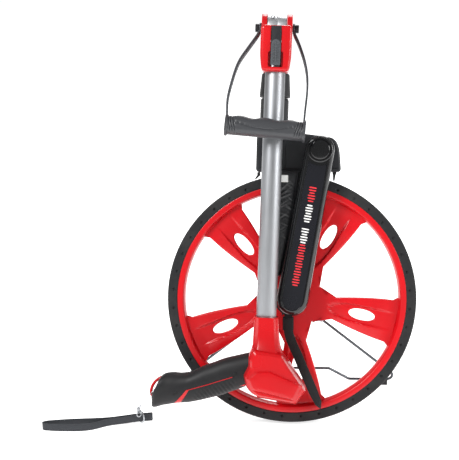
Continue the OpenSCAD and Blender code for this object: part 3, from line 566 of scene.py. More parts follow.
def eased(node: str, finish: "Finish", bevel: float = 0.4, sharp: float = 32) -> bpy.types.Object:
    """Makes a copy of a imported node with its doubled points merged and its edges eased, in place of the node.

    Args:
        node: the node.
        finish: what it is made of.
        bevel: width of the eased edges in millimetres.
        sharp: the angle in degrees past which an edge stays sharp.

    Returns:
        The new piece.
    """
    source = frame["nodes"][node]
    mesh = source.data.copy()
    settle(mesh, sharp, merge=8e-6, flatten=True)
    return dress(node + "_eased", mesh, finish, Body(source["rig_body"]), [node], bevel)


def kept(node: str, finish: "Finish") -> None:
    """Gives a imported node, which stays as it is, its finish.

    Args:
        node: the node.
        finish: what it is made of.
    """
    mesh = frame["nodes"][node].data
    mesh.materials.clear()
    mesh.materials.append(finish.material())
    LOG.info("%s: kept", node)


def cut(piece: bpy.types.Object, tool: bpy.types.Object) -> None:
    """Takes one closed shape out of another, and removes the tool.

    Args:
        piece: the shape that is cut.
        tool: the closed shape that is taken away.
    """
    step = piece.modifiers.new("cut", "BOOLEAN")
    step.object = tool
    step.operation = "DIFFERENCE"
    step.solver = "EXACT"
    bpy.context.view_layer.update()
    mesh = bpy.data.meshes.new_from_object(piece.evaluated_get(bpy.context.evaluated_depsgraph_get()))
    piece.modifiers.remove(step)
    piece.data = mesh
    bpy.data.objects.remove(tool)
    mesh.set_sharp_from_angle(angle=math.radians(30))


# ---------------------------------------------------------------- finishes


def linear(colour: str) -> tuple[float, float, float, float]:
    """Turns an sRGB colour such as "c0392b" into linear RGBA.

    Args:
        colour: six hexadecimal digits.

    Returns:
        Red, green, blue and 1.
    """
    v = np.array([int(colour[i:i + 2], 16) for i in (0, 2, 4)]) / 255
    v = np.where(v <= 0.04045, v / 12.92, ((v + 0.055) / 1.055) ** 2.4)
    return (float(v[0]), float(v[1]), float(v[2]), 1.0)


class Graph:
    """One material's nodes. Each is added with its settings and its inputs in one call."""

    def __init__(self, name: str) -> None:
        """Makes an empty material.

        Args:
            name: the material's name.
        """
        self.material = bpy.data.materials.new(name)
        self.material.use_nodes = True
        self.tree = self.material.node_tree
        self.surface = self.tree.nodes["Principled BSDF"]

    def feed(self, node: bpy.types.Node, inputs: dict) -> None:
        """Sets or links the inputs, named by their label or by their number.

        Args:
            node: the node.
            inputs: a value or a socket for each input.
        """
        for key, value in inputs.items():
            socket = node.inputs[key]
            if isinstance(value, bpy.types.NodeSocket):
                self.tree.links.new(value, socket)
            else:
                socket.default_value = value

    def add(self, kind: str, inputs: dict | None = None, **settings: object) -> bpy.types.Node:
        """Adds a shader node of a kind, with its settings and inputs.

        Args:
            kind: the kind's name after ShaderNode.
            inputs: values or sockets for its inputs.
            settings: values for its own properties.

        Returns:
            The node.
        """
        node = self.tree.nodes.new("ShaderNode" + kind)
        for key, value in settings.items():
            setattr(node, key, value)
        self.feed(node, inputs or {})
        return node

    def place(self, scale: Sequence[float], turn: float = 0.0, flow: bool = False) -> bpy.types.NodeSocket:
        """Gives the point on the object in units of a pattern.

        Args:
            scale: how many units go in a metre along each axis.
            turn: an angle in degrees about x, taken off before the scaling.
            flow: whether to follow the surface's own numbers, in millimetres, instead of the object's axes.

        Returns:
            The socket with the point.
        """
        if flow:
            source = self.add("Attribute", attribute_name="flow").outputs["Vector"]
        else:
            source = self.add("TexCoord").outputs["Object"]
        if turn:
            source = self.add("Mapping", {"Vector": source, "Rotation": (math.radians(turn), 0,
                                                                         0)}).outputs[0]
        return self.add("Mapping", {"Vector": source, "Scale": tuple(scale)}).outputs[0]

    def noise(self, at: bpy.types.NodeSocket, detail: float = 3, rough: float = 0.55) -> bpy.types.NodeSocket:
        """Returns a noise from 0 to 1 whose features are about one unit wide."""
        return self.add("TexNoise", {"Vector": at, "Scale": 1.0, "Detail": detail,
                                     "Roughness": rough}).outputs["Fac"]

    def span(self, value: bpy.types.NodeSocket, low: float, high: float, to_low: float = 0.0,
             to_high: float = 1.0) -> bpy.types.NodeSocket:
        """Carries a value from one range to another, held at its ends.

        Args:
            value: the socket to read.
            low: start of its range.
            high: end of its range.
            to_low: what the start becomes.
            to_high: what the end becomes.

        Returns:
            The socket with the result.
        """
        return self.add("MapRange", {"Value": value, "From Min": low, "From Max": high, "To Min": to_low,
                                     "To Max": to_high}).outputs[0]

    def mixed(self, a: Value, b: Value, share: Value) -> bpy.types.NodeSocket:
        """Returns the colour between a and b.

        Args:
            a: the colour at 0.
            b: the colour at 1.
            share: how far to go.

        Returns:
            The socket with the colour.
        """
        node = self.add("Mix", data_type="RGBA")
        self.feed(node, {0: share, 6: a, 7: b})
        return node.outputs[2]

    def sum(self, kind: str, a: Value, b: Value = 0.0) -> bpy.types.NodeSocket:
        """Returns a number worked out from one or two others."""
        return self.add("Math", {0: a, 1: b}, operation=kind).outputs[0]

    def bump(self, height: bpy.types.NodeSocket, depth: float, strength: float = 1.0,
             under: bpy.types.NodeSocket | None = None) -> bpy.types.NodeSocket:
        """Returns the normal of a surface that a height from 0 to 1 lifts by depth metres.

        Args:
            height: the height's socket.
            depth: how many metres a height of 1 is.
            strength: how strongly it shows.
            under: a normal to lift from.

        Returns:
            The socket with the normal.
        """
        inputs = {"Height": height, "Distance": depth, "Strength": strength}
        if under is not None:
            inputs["Normal"] = under
        return self.add("Bump", inputs).outputs[0]


MADE: dict[str, bpy.types.Material] = {}


@dataclass(frozen=True)
class Finish:
    """What a piece is made of. Each kind paints its own graph, and each finish is made once."""

    name: str
    colour: str

    def material(self) -> bpy.types.Material:
        """Returns the finish's material, made on its first use."""
        if self.name not in MADE:
            graph = Graph(self.name)
            self.paint(graph, graph.surface)
            MADE[self.name] = graph.material
        return MADE[self.name]

    def paint(self, g: Graph, s: bpy.types.Node) -> None:
        """Fills in the graph g round its surface node s."""
        raise NotImplementedError


@dataclass(frozen=True)
class Moulded(Finish):
    """Moulded plastic: an even colour that drifts a little, a fine grain and faint handling marks."""

    rough: float = 0.4
    grain_mm: float = 0.5
    grain_depth: float = 0.00002
    coat: float = 0.0

    def paint(self, g: Graph, s: bpy.types.Node) -> None:
        """Paints a drifting colour, scuffs in the roughness, and grain in the normal.

        Args:
            g: the material's graph.
            s: its surface node.
        """
        broad = g.noise(g.place([18] * 3), 2)
        grain = g.noise(g.place([1000 / self.grain_mm] * 3), 2, 0.6)
        marks = g.noise(g.place([900, 900, 35], turn=38), 4, 0.7)
        base = linear(self.colour)
        darker = tuple(0.86 * c for c in base[:3]) + (1.0,)
        scuffed = g.span(marks, 0.62, 0.76, 0.0, 0.10)
        g.feed(s, {
            "Base Color": g.mixed(base, darker, g.span(broad, 0.3, 0.7)),
            "Roughness": g.sum("ADD", g.span(broad, 0.3, 0.7, self.rough - 0.03, self.rough + 0.04), scuffed),
            "Normal": g.bump(grain, self.grain_depth, 0.6),
            "Coat Weight": self.coat, "Coat Roughness": 0.12, "IOR": 1.5, "Specular IOR Level": 0.36,
        })


@dataclass(frozen=True)
class SoftRubber(Finish):
    """Rubber: dark, with a dull bloom, a fine pebble and a little dust in the low spots."""

    rough: float = 0.6
    dust: str = "6b6763"
    dusty: float = 0.12

    def paint(self, g: Graph, s: bpy.types.Node) -> None:
        """Paints dust over the rubber's colour, a dull bloom, and a pebble in the normal.

        Args:
            g: the material's graph.
            s: its surface node.
        """
        bloom = g.noise(g.place([30] * 3), 4, 0.6)
        pebble = g.add("TexVoronoi", {"Vector": g.place([1400] * 3), "Scale": 1.0}).outputs["Distance"]
        share = g.span(bloom, 0.45, 0.75, 0.0, self.dusty)
        g.feed(s, {
            "Base Color": g.mixed(linear(self.colour), linear(self.dust), share),
            "Roughness": g.span(bloom, 0.3, 0.7, self.rough - 0.05, self.rough + 0.07),
            "Normal": g.bump(pebble, 0.00003, 0.5),
            "Specular IOR Level": 0.3, "Sheen Weight": 0.04, "Sheen Roughness": 0.5,
        })


@dataclass(frozen=True)
class Metal(Finish):
    """Worked metal: hairlines along one direction and a faint drift in its polish."""

    rough: float = 0.28
    lines: tuple[float, float, float] = (2600.0, 2600.0, 30.0)
    turn: float = 15.0
    metallic: float = 1.0

    def paint(self, g: Graph, s: bpy.types.Node) -> None:
        """Paints hairlines into the colour, the roughness and the normal.

        Args:
            g: the material's graph.
            s: its surface node.
        """
        hair = g.noise(g.place(self.lines, turn=self.turn), 3, 0.7)
        drift = g.noise(g.place([26] * 3), 3)
        base = linear(self.colour)
        dull = tuple(0.82 * c for c in base[:3]) + (1.0,)
        g.feed(s, {
            "Base Color": g.mixed(dull, base, g.span(hair, 0.3, 0.7)), "Metallic": self.metallic,
            "Roughness": g.sum("ADD", g.span(hair, 0.2, 0.8, self.rough - 0.05, self.rough + 0.06),
                               g.span(drift, 0.3, 0.7, 0.0, 0.05)),
            "Normal": g.bump(hair, 0.000006, 0.35),
        })


@dataclass(frozen=True)
class Webbing(Finish):
    """Woven tape: ribs across its width, staggered in columns, laid out in millimetres of the surface."""

    pitch_mm: float = 0.9

    def paint(self, g: Graph, s: bpy.types.Node) -> None:
        """Paints the weave from the surface's own numbers, with a painted highlight where the thread is high.

        Args:
            g: the material's graph.
            s: its surface node.
        """
        at = g.add("SeparateXYZ", {0: g.place([1 / self.pitch_mm, 1 / self.pitch_mm, 1], flow=True)})
        column = g.sum("FLOOR", at.outputs[0])
        shift = g.sum("MULTIPLY", g.sum("MODULO", column, 2.0), 0.5)
        along = g.sum("FRACT", g.sum("ADD", at.outputs[1], shift))
        hump = g.sum("SINE", g.sum("MULTIPLY", along, math.pi))
        side = g.sum("SINE", g.sum("MULTIPLY", g.sum("FRACT", at.outputs[0]), math.pi))
        thread = g.sum("MULTIPLY", g.sum("ABSOLUTE", hump), g.sum("ABSOLUTE", side))
        fuzz = g.noise(g.place([2500] * 3), 2)
        base = linear(self.colour)
        # lit colour: painted highlight on the high threads
        lit = tuple(min(1.0, 1.7 * c + 0.01) for c in base[:3]) + (1.0,)
        g.feed(s, {
            "Base Color": g.mixed(base, lit, g.span(thread, 0.2, 0.9)), "Roughness": 0.74,
            "Normal": g.bump(g.sum("ADD", thread, g.sum("MULTIPLY", fuzz, 0.3)), 0.00016, 0.8),
            "Sheen Weight": 0.15, "Sheen Roughness": 0.4, "Specular IOR Level": 0.3,
        })


@dataclass(frozen=True)
class Nylon(Finish):
    """Coated nylon cloth: a tight plain weave, a satin face and short creases."""

    rough: float = 0.42
    thread_mm: float = 0.45

    def paint(self, g: Graph, s: bpy.types.Node) -> None:
        """Paints a plain weave under broad creases, lighter where it is worn.

        Args:
            g: the material's graph.
            s: its surface node.
        """
        per = 1000 / self.thread_mm
        at = g.add("SeparateXYZ", {0: g.place([per, per, per], turn=15)})
        warp = g.sum("SINE", g.sum("MULTIPLY", at.outputs[0], 2 * math.pi))
        weft = g.sum("SINE", g.sum("MULTIPLY", at.outputs[2], 2 * math.pi))
        weave = g.span(g.sum("MULTIPLY", warp, weft), -1.0, 1.0)
        crease = g.noise(g.place([140, 140, 90], turn=40), 4, 0.6)
        worn = g.noise(g.place([35] * 3), 3)
        fine = g.bump(weave, 0.00005, 0.5)
        base = linear(self.colour)
        lit = tuple(min(1.0, 1.5 * c + 0.008) for c in base[:3]) + (1.0,)
        g.feed(s, {
            "Base Color": g.mixed(base, lit, g.span(worn, 0.35, 0.7)),
            "Roughness": g.span(worn, 0.3, 0.7, self.rough - 0.05, self.rough + 0.1),
            "Normal": g.bump(crease, 0.0007, 0.7, fine),
            "Sheen Weight": 0.25, "Sheen Roughness": 0.35, "Coat Weight": 0.15, "Coat Roughness": 0.3,
        })


@dataclass(frozen=True)
class ClearGlass(Finish):
    """The display's window: clear, faintly tinted, with a soft print of fingers."""

    def paint(self, g: Graph, s: bpy.types.Node) -> None:
        """Paints a clear window whose roughness drifts with smears.

        Args:
            g: the material's graph.
            s: its surface node.
        """
        smear = g.noise(g.place([120, 120, 120]), 4, 0.6)
        g.feed(s, {"Base Color": linear(self.colour), "Transmission Weight": 0.92, "IOR": 1.49,
                   "Roughness": g.span(smear, 0.4, 0.7, 0.02, 0.12)})


@dataclass(frozen=True)
class Board(Finish):
    """A circuit board or other inner part: a flat colour with fine tracks that show lighter."""

    tracks: str = "3c8f52"

    def paint(self, g: Graph, s: bpy.types.Node) -> None:
        """Paints a grid of fine lighter tracks.

        Args:
            g: the material's graph.
            s: its surface node.
        """
        cell = g.add("TexBrick", {"Vector": g.place([90, 90, 90]), "Scale": 1.0, "Mortar Size": 0.03,
                                  "Color1": linear(self.colour), "Color2": linear(self.colour),
                                  "Mortar": linear(self.tracks)}).outputs["Color"]
        g.feed(s, {"Base Color": cell, "Roughness": 0.45, "Coat Weight": 0.3})


@dataclass(frozen=True)
class Ink(Finish):
    """Printed ink: flat, with a slight break-up where it is thin."""

    def paint(self, g: Graph, s: bpy.types.Node) -> None:
        """Paints the ink's colour, weaker where it is thin.

        Args:
            g: the material's graph.
            s: its surface node.
        """
        thin = g.noise(g.place([1500] * 3), 3, 0.6)
        base = linear(self.colour)
        weak = tuple(0.72 * c for c in base[:3]) + (1.0,)
        g.feed(s, {"Base Color": g.mixed(weak, base, g.span(thin, 0.25, 0.5)), "Roughness": 0.5})


# bright, slightly glossy red of the cast wheel, with soft highlights along the rails
SPOKE_RED = Moulded("bright_red_casting", "cc0b16", 0.3, 0.7, 0.000015, 0.15)
# deeper red of the moulded shells, with a tighter highlight on the chamfers
HEAD_RED = Moulded("red_shell", "c20a13", 0.28, 0.6, 0.000012, 0.2)
# dull black plastic with a fine grain, so that small fittings stay quiet
BLACK_GRAIN = Moulded("black_grained_plastic", "1d1e20", 0.5, 0.45, 0.00004)
# charcoal of the crown and arms, light enough for its edges to show
BLACK_SHELL = Moulded("black_crown_plastic", "26272a", 0.45, 0.6, 0.00003)
# almost black gloss of the arm's cover, which mirrors the light along its bevel
BLACK_GLOSS = Moulded("black_gloss_cover", "0b0c0e", 0.16, 0.9, 0.000006, 0.6)
# slightly blue, smooth black of the inset panel, apart from the gloss around it
PANEL = Moulded("tinted_arm_panel", "14151b", 0.28, 0.35, 0.00001, 0.2)
# painted highlight: dark grey of the carry grip, lighter than the rubber near it, standing for the light on its
# top
LIT_GRIP_GREY = Moulded("lit_grey_bail_grip", "3b3c3f", 0.4, 0.6, 0.00003, 0.2)
# painted shade: near black of the screw wells, so that these shallow dishes read as holes
WELL_SHADE = Moulded("screw_well_painted_shade", "050506", 0.6, 0.5, 0.00003)
# mid grey of the latch's ridged pad, which marks it as a control
LEVER_GREY = Moulded("grey_lever_plastic", "4a4d51", 0.48, 0.5, 0.00003)
# dark grey of the latch's upper pad, a step below the ridged one
LEVER_DARK = Moulded("dark_lever_plastic", "202124", 0.45, 0.5, 0.00003)
# dull black rubber with a little dust in the low spots
TYRE = SoftRubber("tyre_rubber", "19191b", 0.62, "55534f", 0.16)
# black grip rubber, a little shinier than the tyre from handling
GRIP = SoftRubber("grip_rubber", "161618", 0.5, "4a4846", 0.08)
# soft grey of a satin tube, with hairlines and a broad highlight
TUBE = Metal("satin_drawn_tube", "a4a6a9", 0.44)
# pale cast metal of the joint's lower half, the brightest part of the pole
BLOCK = Metal("cast_light_block", "d9dbde", 0.36, (500.0, 500.0, 500.0))
# bright grey of plated pins, nuts and rings
ZINC = Metal("zinc_plated_steel", "b9bcc0", 0.32, (700.0, 700.0, 700.0))
# mid grey of the stand's rod, drawn along its length
WIRE = Metal("grey_steel_wire", "55585c", 0.3, (60.0, 2200.0, 2200.0))
# black oxide screws and pins with a weak metallic shine
BLACK_STEEL = Metal("black_oxide_steel", "2d2e31", 0.42, (700.0, 700.0, 700.0), 15.0, 0.6)
# dark grey of the carry handle's bent strip
STRIP = Metal("dark_grey_strip", "47494d", 0.42, (1800.0, 1800.0, 40.0), 15.0, 0.5)
# black padded cloth with a satin face and creases that catch the light
PAD = Nylon("padded_nylon", "16171a")
# black woven tape with fine ribs
TAPE = Webbing("strap_webbing", "0f1012")
# charcoal woven tape, a step lighter than the strap
LANYARD_TAPE = Webbing("lanyard_webbing", "2b2d31")
# off-white sewn tag
LABEL = Ink("white_care_label", "f1f1ee")
# white print on the arm
WHITE_INK = Ink("white_ink", "e9e9e6")
# red print on the arm
RED_INK = Ink("red_ink", "d8202a")
# green board with lighter tracks, seen only when it is opened
GREEN_BOARD = Board("circuit_board", "1d5a33")
# warm wrap of the battery cells
CELL = Metal("cell_wrap", "b8913a", 0.35, (900.0, 900.0, 40.0), 15.0, 0.4)
# grey-green of the display's cells
LCD = Board("display_cells", "7d8a6c", "6d7a5d")
# clear, slightly smeared window over the display
WINDOW = ClearGlass("display_window", "eef3f2")


# ---------------------------------------------------------------- sub-assemblies


def wheel_grid(r: Array, turn: Array, y: Array) -> Array:
    """Returns points of the wheel's own frame from a radius, an angle clockwise from up and a depth."""
    return np.stack([r * np.sin(turn), y + 0 * r, r * np.cos(turn)], axis=-1)


@dataclass
class Tyre:
    """A solid tyre with a row of shallow dimples on each side."""

    dimples: int = 40
    dimple_r: float = 151.155
    dimple_w: float = 1.9
    depth: float = 1.8
    steps: int = 1600

    def profile(self) -> Array:
        """Returns the section as (radius, y), from the inner front corner round the tread to the inner back
        one.
        """
        inner = SIZE.wheel_r - SIZE.tyre_t
        side = np.concatenate([[inner + 0.1, inner + 0.6, inner + 1.6], np.arange(148.6, 153.8, 0.42),
                               [155.0, 156.4, 157.3]])
        y = np.full(len(side), -SIZE.half_w)
        y[0] += 0.7
        y[1] += 0.15
        bend = np.linspace(0.15, 1, 5) * math.pi / 2
        edge_r = SIZE.wheel_r - 2 + 2 * np.sin(bend)
        edge_y = -SIZE.half_w + 2 - 2 * np.cos(bend)
        front = np.stack([np.concatenate([side, edge_r]), np.concatenate([y, edge_y])], axis=1)
        return np.concatenate([front, [[SIZE.wheel_r, 0]], front[::-1] * [1, -1]])

    def build(self, place: Place) -> bpy.types.Object:
        """Makes the tyre: a dimple takes the side in by depth (1 - (d / w)^2)^2 at a distance d from its
        middle.

        Args:
            place: the place that it is drawn in.

        Returns:
            The finished piece.
        """
        section = self.profile()
        turn = np.arange(self.steps)[:, None] * 2 * math.pi / self.steps
        r, y = section[None, :, 0] + 0 * turn, section[None, :, 1] + 0 * turn
        pitch = 2 * math.pi / self.dimples
        off = (np.mod(turn, pitch) - pitch / 2) * r
        d = np.hypot(off, r - self.dimple_r) / self.dimple_w
        dip = self.depth * np.clip(1.15 - d**2, 0, 1) ** 0.8 * (np.abs(y) > SIZE.half_w - 0.2)
        shell = Shell(place).grid(wheel_grid(r, turn, y - np.sign(y) * dip), loop=True)
        return shell.piece("tyre_ring", TYRE, Body.WHEEL, ["tyre"], sharp=50)


@dataclass
class Spoke:
    """One spoke: a plate with a long hole, raised rails along both edges and fillets at both ends."""

    neck: float = 12.0
    flare: float = 28.0
    root_r: float = 22.0
    rim_r: float = 137.4
    hole_r: float = 92.5
    hole_half: float = 17.0
    hole_wide: float = 7.0
    around: int = 280
    across: int = 20

    def half(self, r: Array) -> Array:
        """Returns the half width at a radius: the neck, flaring to the rim, with a fillet at each end.

        Args:
            r: radii in millimetres.

        Returns:
            Half widths in millimetres.
        """
        ease = 1 - (1 - np.clip((r - 48) / 88.86, 0, 1)) ** 1.5
        root = 0.0412 * np.clip(49.1 - r, 0, 16.7) ** 2
        side = self.neck + (self.flare - self.neck) * ease + root + 7 * np.clip((r - 125.5) / 11.5, 0,
                                                                                1) ** 2.4
        return np.minimum(side, 0.7265 * r)

    def rim_of_hole(self, a: Array) -> Array:
        """Returns where a ray at angle a from the hole's middle meets the hole's edge, as (x, r - hole_r).

        Args:
            a: angles in radians, from up.

        Returns:
            Points (N, 2).
        """
        wide, tall = np.abs(np.sin(a) / self.hole_wide), np.abs(np.cos(a) / self.hole_half)
        reach = (wide ** 2.1 + tall ** 2.1) ** (-1 / 2.1)
        return np.stack([reach * np.sin(a), reach * np.cos(a)], axis=-1)

    def outline(self) -> Array:
        """Returns the outer edge as (x, r - hole_r), evenly spaced."""
        r = np.linspace(self.root_r, self.rim_r, 120)
        w = self.half(r)
        right = np.stack([w, r - self.hole_r], axis=1)
        p = np.concatenate([right, right[::-1] * [-1, 1]])
        p = np.concatenate([p, p[:1]])
        s = np.concatenate([[0], np.cumsum(np.linalg.norm(np.diff(p, axis=0), axis=1))])
        t = np.linspace(0, s[-1], self.around, endpoint=False)
        return np.stack([np.interp(t, s, p[:, 0]), np.interp(t, s, p[:, 1])], axis=1)

    def height(self, x: Array, r: Array) -> Array:
        """Returns half the thickness: 3 mm in the teardrop round the hole, and 6 mm in the rails beside it.

        Args:
            x: distances from the middle line.
            r: heights up the spoke.

        Returns:
            Half thicknesses in millimetres.
        """
        rise = np.clip((r - 49) / 42, 0, 1)
        drop = 11.2 * np.sqrt(1 - (1 - rise) ** 2.2) * (r > 49)
        rail = ramp(np.abs(x), drop - 0.9, drop + 0.9)
        fade = 1 - ramp(r, 106, 134)
        dish = 1.6 * np.clip(np.abs(x) / np.maximum(self.half(r), 1), 0, 1) ** 2 * ramp(r, 45, 70)
        return 3.0 + 3.0 * (1 - (1 - rail) * (r > 49)) * fade - dish * fade + 0.9 * ramp(r, 122, 136)

    def surface(self) -> Array:
        """Returns one side as a grid (around, across, 3) of x, height and r: from the hole's edge to the
        outer edge.
        """
        outer = self.outline()
        inner = self.rim_of_hole(np.arctan2(outer[:, 0], outer[:, 1]))
        t = np.linspace(0, 1, self.across)
        t = np.concatenate([[0, 0.012, 0.03], t[1:-1], [0.965, 0.985, 1]])
        p = inner[:, None] + t[None, :, None] * (outer - inner)[:, None]
        x, r = p[..., 0], p[..., 1] + self.hole_r
        gap = np.minimum(np.linalg.norm(p - inner[:, None], axis=2),
                         np.linalg.norm(outer[:, None] - p, axis=2) * 0.9)
        soft = np.sqrt(1 - (1 - np.clip(gap / 1.6, 0, 1)) ** 2)
        soft = np.maximum(soft, 1 - ramp(np.hypot(x, r), 37.0, 41.0))
        return np.stack([x, self.height(x, r) - 1.5 * (1 - soft), r], axis=2)

    def add(self, shell: Shell, turn: float) -> None:
        """Adds the spoke to the casting, turned clockwise by an angle in radians.

        Args:
            shell: the casting so far.
            turn: the angle.
        """
        p = self.surface()
        both = np.concatenate([p, (p * [1, -1, 1])[:, ::-1]], axis=1)
        c, s = math.cos(turn), math.sin(turn)
        x, z = both[..., 0] * c + both[..., 2] * s, both[..., 2] * c - both[..., 0] * s
        shell.grid(np.stack([x, both[..., 1], z], axis=2), loop=True)


@dataclass
class Wheel:
    """The five-spoked casting with its rim and hub."""

    spokes: int = 5
    first: float = 30.8
    rim_steps: int = 480
    hub_steps: int = 120

    def build(self, place: Place) -> bpy.types.Object:
        """Makes rim, hub and spokes as closed shapes that run into one another.

        Args:
            place: the place that it is drawn in.

        Returns:
            The finished piece.
        """
        inner = SIZE.wheel_r - SIZE.tyre_t
        rim = rounded([(inner + 0.3, -10.5), (139.6, -10.5), (138.3, -8.6), (136.9, -3.6), (136.4, 0),
                       (136.9, 3.6),
                       (138.3, 8.6), (139.6, 10.5), (inner + 0.3, 10.5)], 0.9, 4)
        turn = np.arange(self.rim_steps)[:, None] * 2 * math.pi / self.rim_steps
        shell = Shell(place)
        shell.grid(wheel_grid(rim[None, :, 0] + 0 * turn, turn, rim[None, :, 1]), loop=True)
        hub = rounded([(6.5, -15), (14.7, -15), (15.2, -7), (21.5, -5.8), (31, -5.6), (34, -3.2), (34, 3.2),
                       (31, 5.6),
                       (21.5, 5.8), (15.2, 7), (14.7, 15), (6.5, 15)], 1.0, 4)
        turn = np.arange(self.hub_steps)[:, None] * 2 * math.pi / self.hub_steps
        shell.grid(wheel_grid(hub[None, :, 0] + 0 * turn, turn, hub[None, :, 1]), loop=True)
        for k in range(self.spokes):
            Spoke().add(shell, math.radians(self.first + 360 / self.spokes * k))
        return shell.piece("wheel_casting", SPOKE_RED, Body.WHEEL, ["wheel"], sharp=42, slot="red_plastic")


def capsule(r1: float, r2: float, length: float, count: int = 48) -> Array:
    """Returns the outline of two circles and their tangents: r1 round (0, 0) and r2 round (0, length).

    Args:
        r1: radius of the lower circle.
        r2: radius of the upper circle.
        length: distance between their middles.
        count: how many points each arc gets.

    Returns:
        The closed outline.
    """
    tilt = math.asin((r1 - r2) / length)
    top = np.linspace(tilt, math.pi - tilt, count)
    low = np.linspace(math.pi - tilt, 2 * math.pi + tilt, count)
    upper = np.stack([r2 * np.cos(top), length + r2 * np.sin(top)], axis=1)
    side = np.linspace(upper[-1], np.array([r1 * math.cos(low[0]), r1 * math.sin(low[0])]), 9)[1:-1]
    lower = np.stack([r1 * np.cos(low), r1 * np.sin(low)], axis=1)
    back = side[::-1] * [-1, 1]
    return np.concatenate([upper, side, lower, back])


@dataclass
class FrontArm:
    """The gloss cover of the front arm, its panel, the ring round the upper bolt and the printed marks."""

    ring_r: float = 15.9
    cap_r: float = 12.5
    bevel: float = 6.6

    def build(self, place: Place) -> None:
        """Makes the cover, panel, ring, cap and marks.

        Args:
            place: the place that it is drawn in.
        """
        body = capsule(SIZE.arm_r1, SIZE.arm_r2, SIZE.arm_len)
        top, front = SIZE.arm_len, SIZE.cover_y
        rings = [(1.6, -32.9), (0.1, -33.0), (0, -33.5), (0, -35.2), (0.4, -36.5), (1.3, -38.0), (2.8, -39.5),
                 (4.3, -40.5), (5.2, -40.9), (5.8, front), (6.4, front), (6.6, front + 0.15),
                 (6.7, front + 0.8)]
        Shell(place).slab(body, rings).piece("arm_cover", BLACK_GLOSS, Body.FORK, ["arm_front_cover"],
                                             sharp=50)
        self.panel(place)
        ring = [(self.cap_r + 0.5, front + 2), (self.cap_r + 0.5, front - 0.5),
                (self.cap_r + 0.9, front - 1.1),
                (self.ring_r - 0.9, front - 1.1), (self.ring_r - 0.2, front - 0.7),
                (self.ring_r, front - 0.1),
                (self.ring_r, front + 2.5)]
        Shell(place).lathe(np.array(ring) * [1, -1], 96, on_y, (0, 0, top), loop=True).piece(
            "arm_ring", BLACK_GLOSS, Body.FORK)
        r = np.linspace(0.05, self.cap_r - 1.1, 12)
        dome = np.stack([r, -front + 1.9 - 1.2 * (r / self.cap_r) ** 2], axis=1)
        edge = [(self.cap_r - 0.4, -front + 0.6), (self.cap_r, -front), (self.cap_r, -front - 4)]
        Shell(place).lathe(np.concatenate([dome, edge]), 96, on_y, (0, 0, top)).piece(
            "arm_bolt_cap", BLACK_GLOSS, Body.FORK, ["arm_front_cap"], sharp=40)
        self.marks(place)

    def panel(self, place: Place) -> None:
        """Makes the inset panel, whose upper end is cut round the ring, with eased edges.

        Args:
            place: the place that it is drawn in.
        """
        outline = inset(capsule(SIZE.arm_r1, SIZE.arm_r2, SIZE.arm_len, 60), self.bevel + 0.15)
        reach = self.ring_r + 4
        keep = outline[np.hypot(outline[:, 0], outline[:, 1] - SIZE.arm_len) > reach]
        half = 11.9
        a = math.asin(half / reach)
        arc = np.linspace(-a, a, 25)
        cut_arc = np.stack([reach * np.sin(arc), SIZE.arm_len - reach * np.cos(arc)], axis=1)
        start = int(np.argmin(np.hypot(keep[:, 0] + half, keep[:, 1] - cut_arc[0, 1])))
        keep = np.roll(keep, -start, axis=0)
        outline = np.concatenate([keep, cut_arc[::-1]])
        front = SIZE.cover_y
        rings = [(0.3, front + 1.1), (0, front + 1.0), (0, front + 0.5), (0.25, front + 0.32),
                 (0.9, front + 0.3),
                 (1.5, front + 0.3)]
        Shell(place).slab(outline, rings).piece("arm_panel", PANEL, Body.FORK, ["arm_front_panel"], sharp=30)

    def marks(self, place: Place) -> None:
        """Prints plain bars down the panel: short strokes in groups, in red and white.

        Args:
            place: the place that it is drawn in.
        """
        groups = [(18, 71, RED_INK, "lower_red"), (72.4, 91.5, WHITE_INK, "lower_white"),
                  (99, 123, WHITE_INK, "upper_white"), (125, 145, RED_INK, "upper_red")]
        for low, high, ink, name in groups:
            shell = Shell(place)
            for k, z in enumerate(np.arange(low, high - 1, 3.4)):
                half = 4.6 if k % 3 else 3.4
                bar = superellipse(half, 0.85, 4, 20) + [0, z + 0.85]
                front = SIZE.cover_y + 0.3
                shell.slab(bar, [(0, front + 0.05), (0, front - 0.05), (0.12, front - 0.09)])
            shell.piece("arm_mark_" + name, ink, Body.FORK)


@dataclass
class Crown:
    """The moulded box that joins the arms to the pole, with a shallow recess between the tube and the arm."""

    half: float = 53.0
    tall: float = 48.5
    base: float = 162.455
    middle: float = 8.5

    def build(self, place: Place) -> None:
        """Makes the box in two halves that meet at the parting plane, and the recess's raised border.

        Args:
            place: the place that it is drawn in.
        """
        w, h = self.half, self.tall
        corners = np.array([(-w - 1, 0), (w + 1, 0), (w - 1, h - 21), (w - 4.5, h - 10), (w - 11, h - 4.5),
                            (10, h),
                            (2 - w, h - 1), (-w, h - 4)]) + [self.middle, self.base]
        out = SIZE.fork_half
        near = [(0.4, -0.05), (0.0, -0.35), (0, 3 - out), (0.35, 1.5 - out), (1.3, 0.4 - out),
                (2.8, 0.05 - out),
                (4.0, -out)]
        Shell(place).block(corners, 5.0, near, 6).piece("crown_front_half", BLACK_SHELL, Body.FORK,
                                                        ["crown_front"], sharp=40)
        far = [(by, -y) for by, y in near[:7]]
        Shell(place).block(corners, 5.0, far, 6).piece("crown_rear_half", BLACK_SHELL, Body.FORK,
                                                       ["crown_rear"], sharp=40)
        self.neck(place)

    def neck(self, place: Place) -> None:
        """Makes the ledge along the crown's lower edge and the raised border beside the tube.

        Args:
            place: the place that it is drawn in.
        """
        front = -SIZE.fork_half
        rings = [(0, front + 1), (0, front - 0.3), (0.5, front - 0.9), (1.1, front - 1.0)]
        shell = Shell(place).block([(-43, 163.2), (60, 163.2), (60, 167.4), (-43, 167.4)], 1.4, rings)
        shell.block([(-12.0, 165), (-8.6, 165), (-7.4, 205), (-10.8, 205)], 1.2, rings)
        shell.piece("crown_ledge", BLACK_SHELL, Body.FORK)


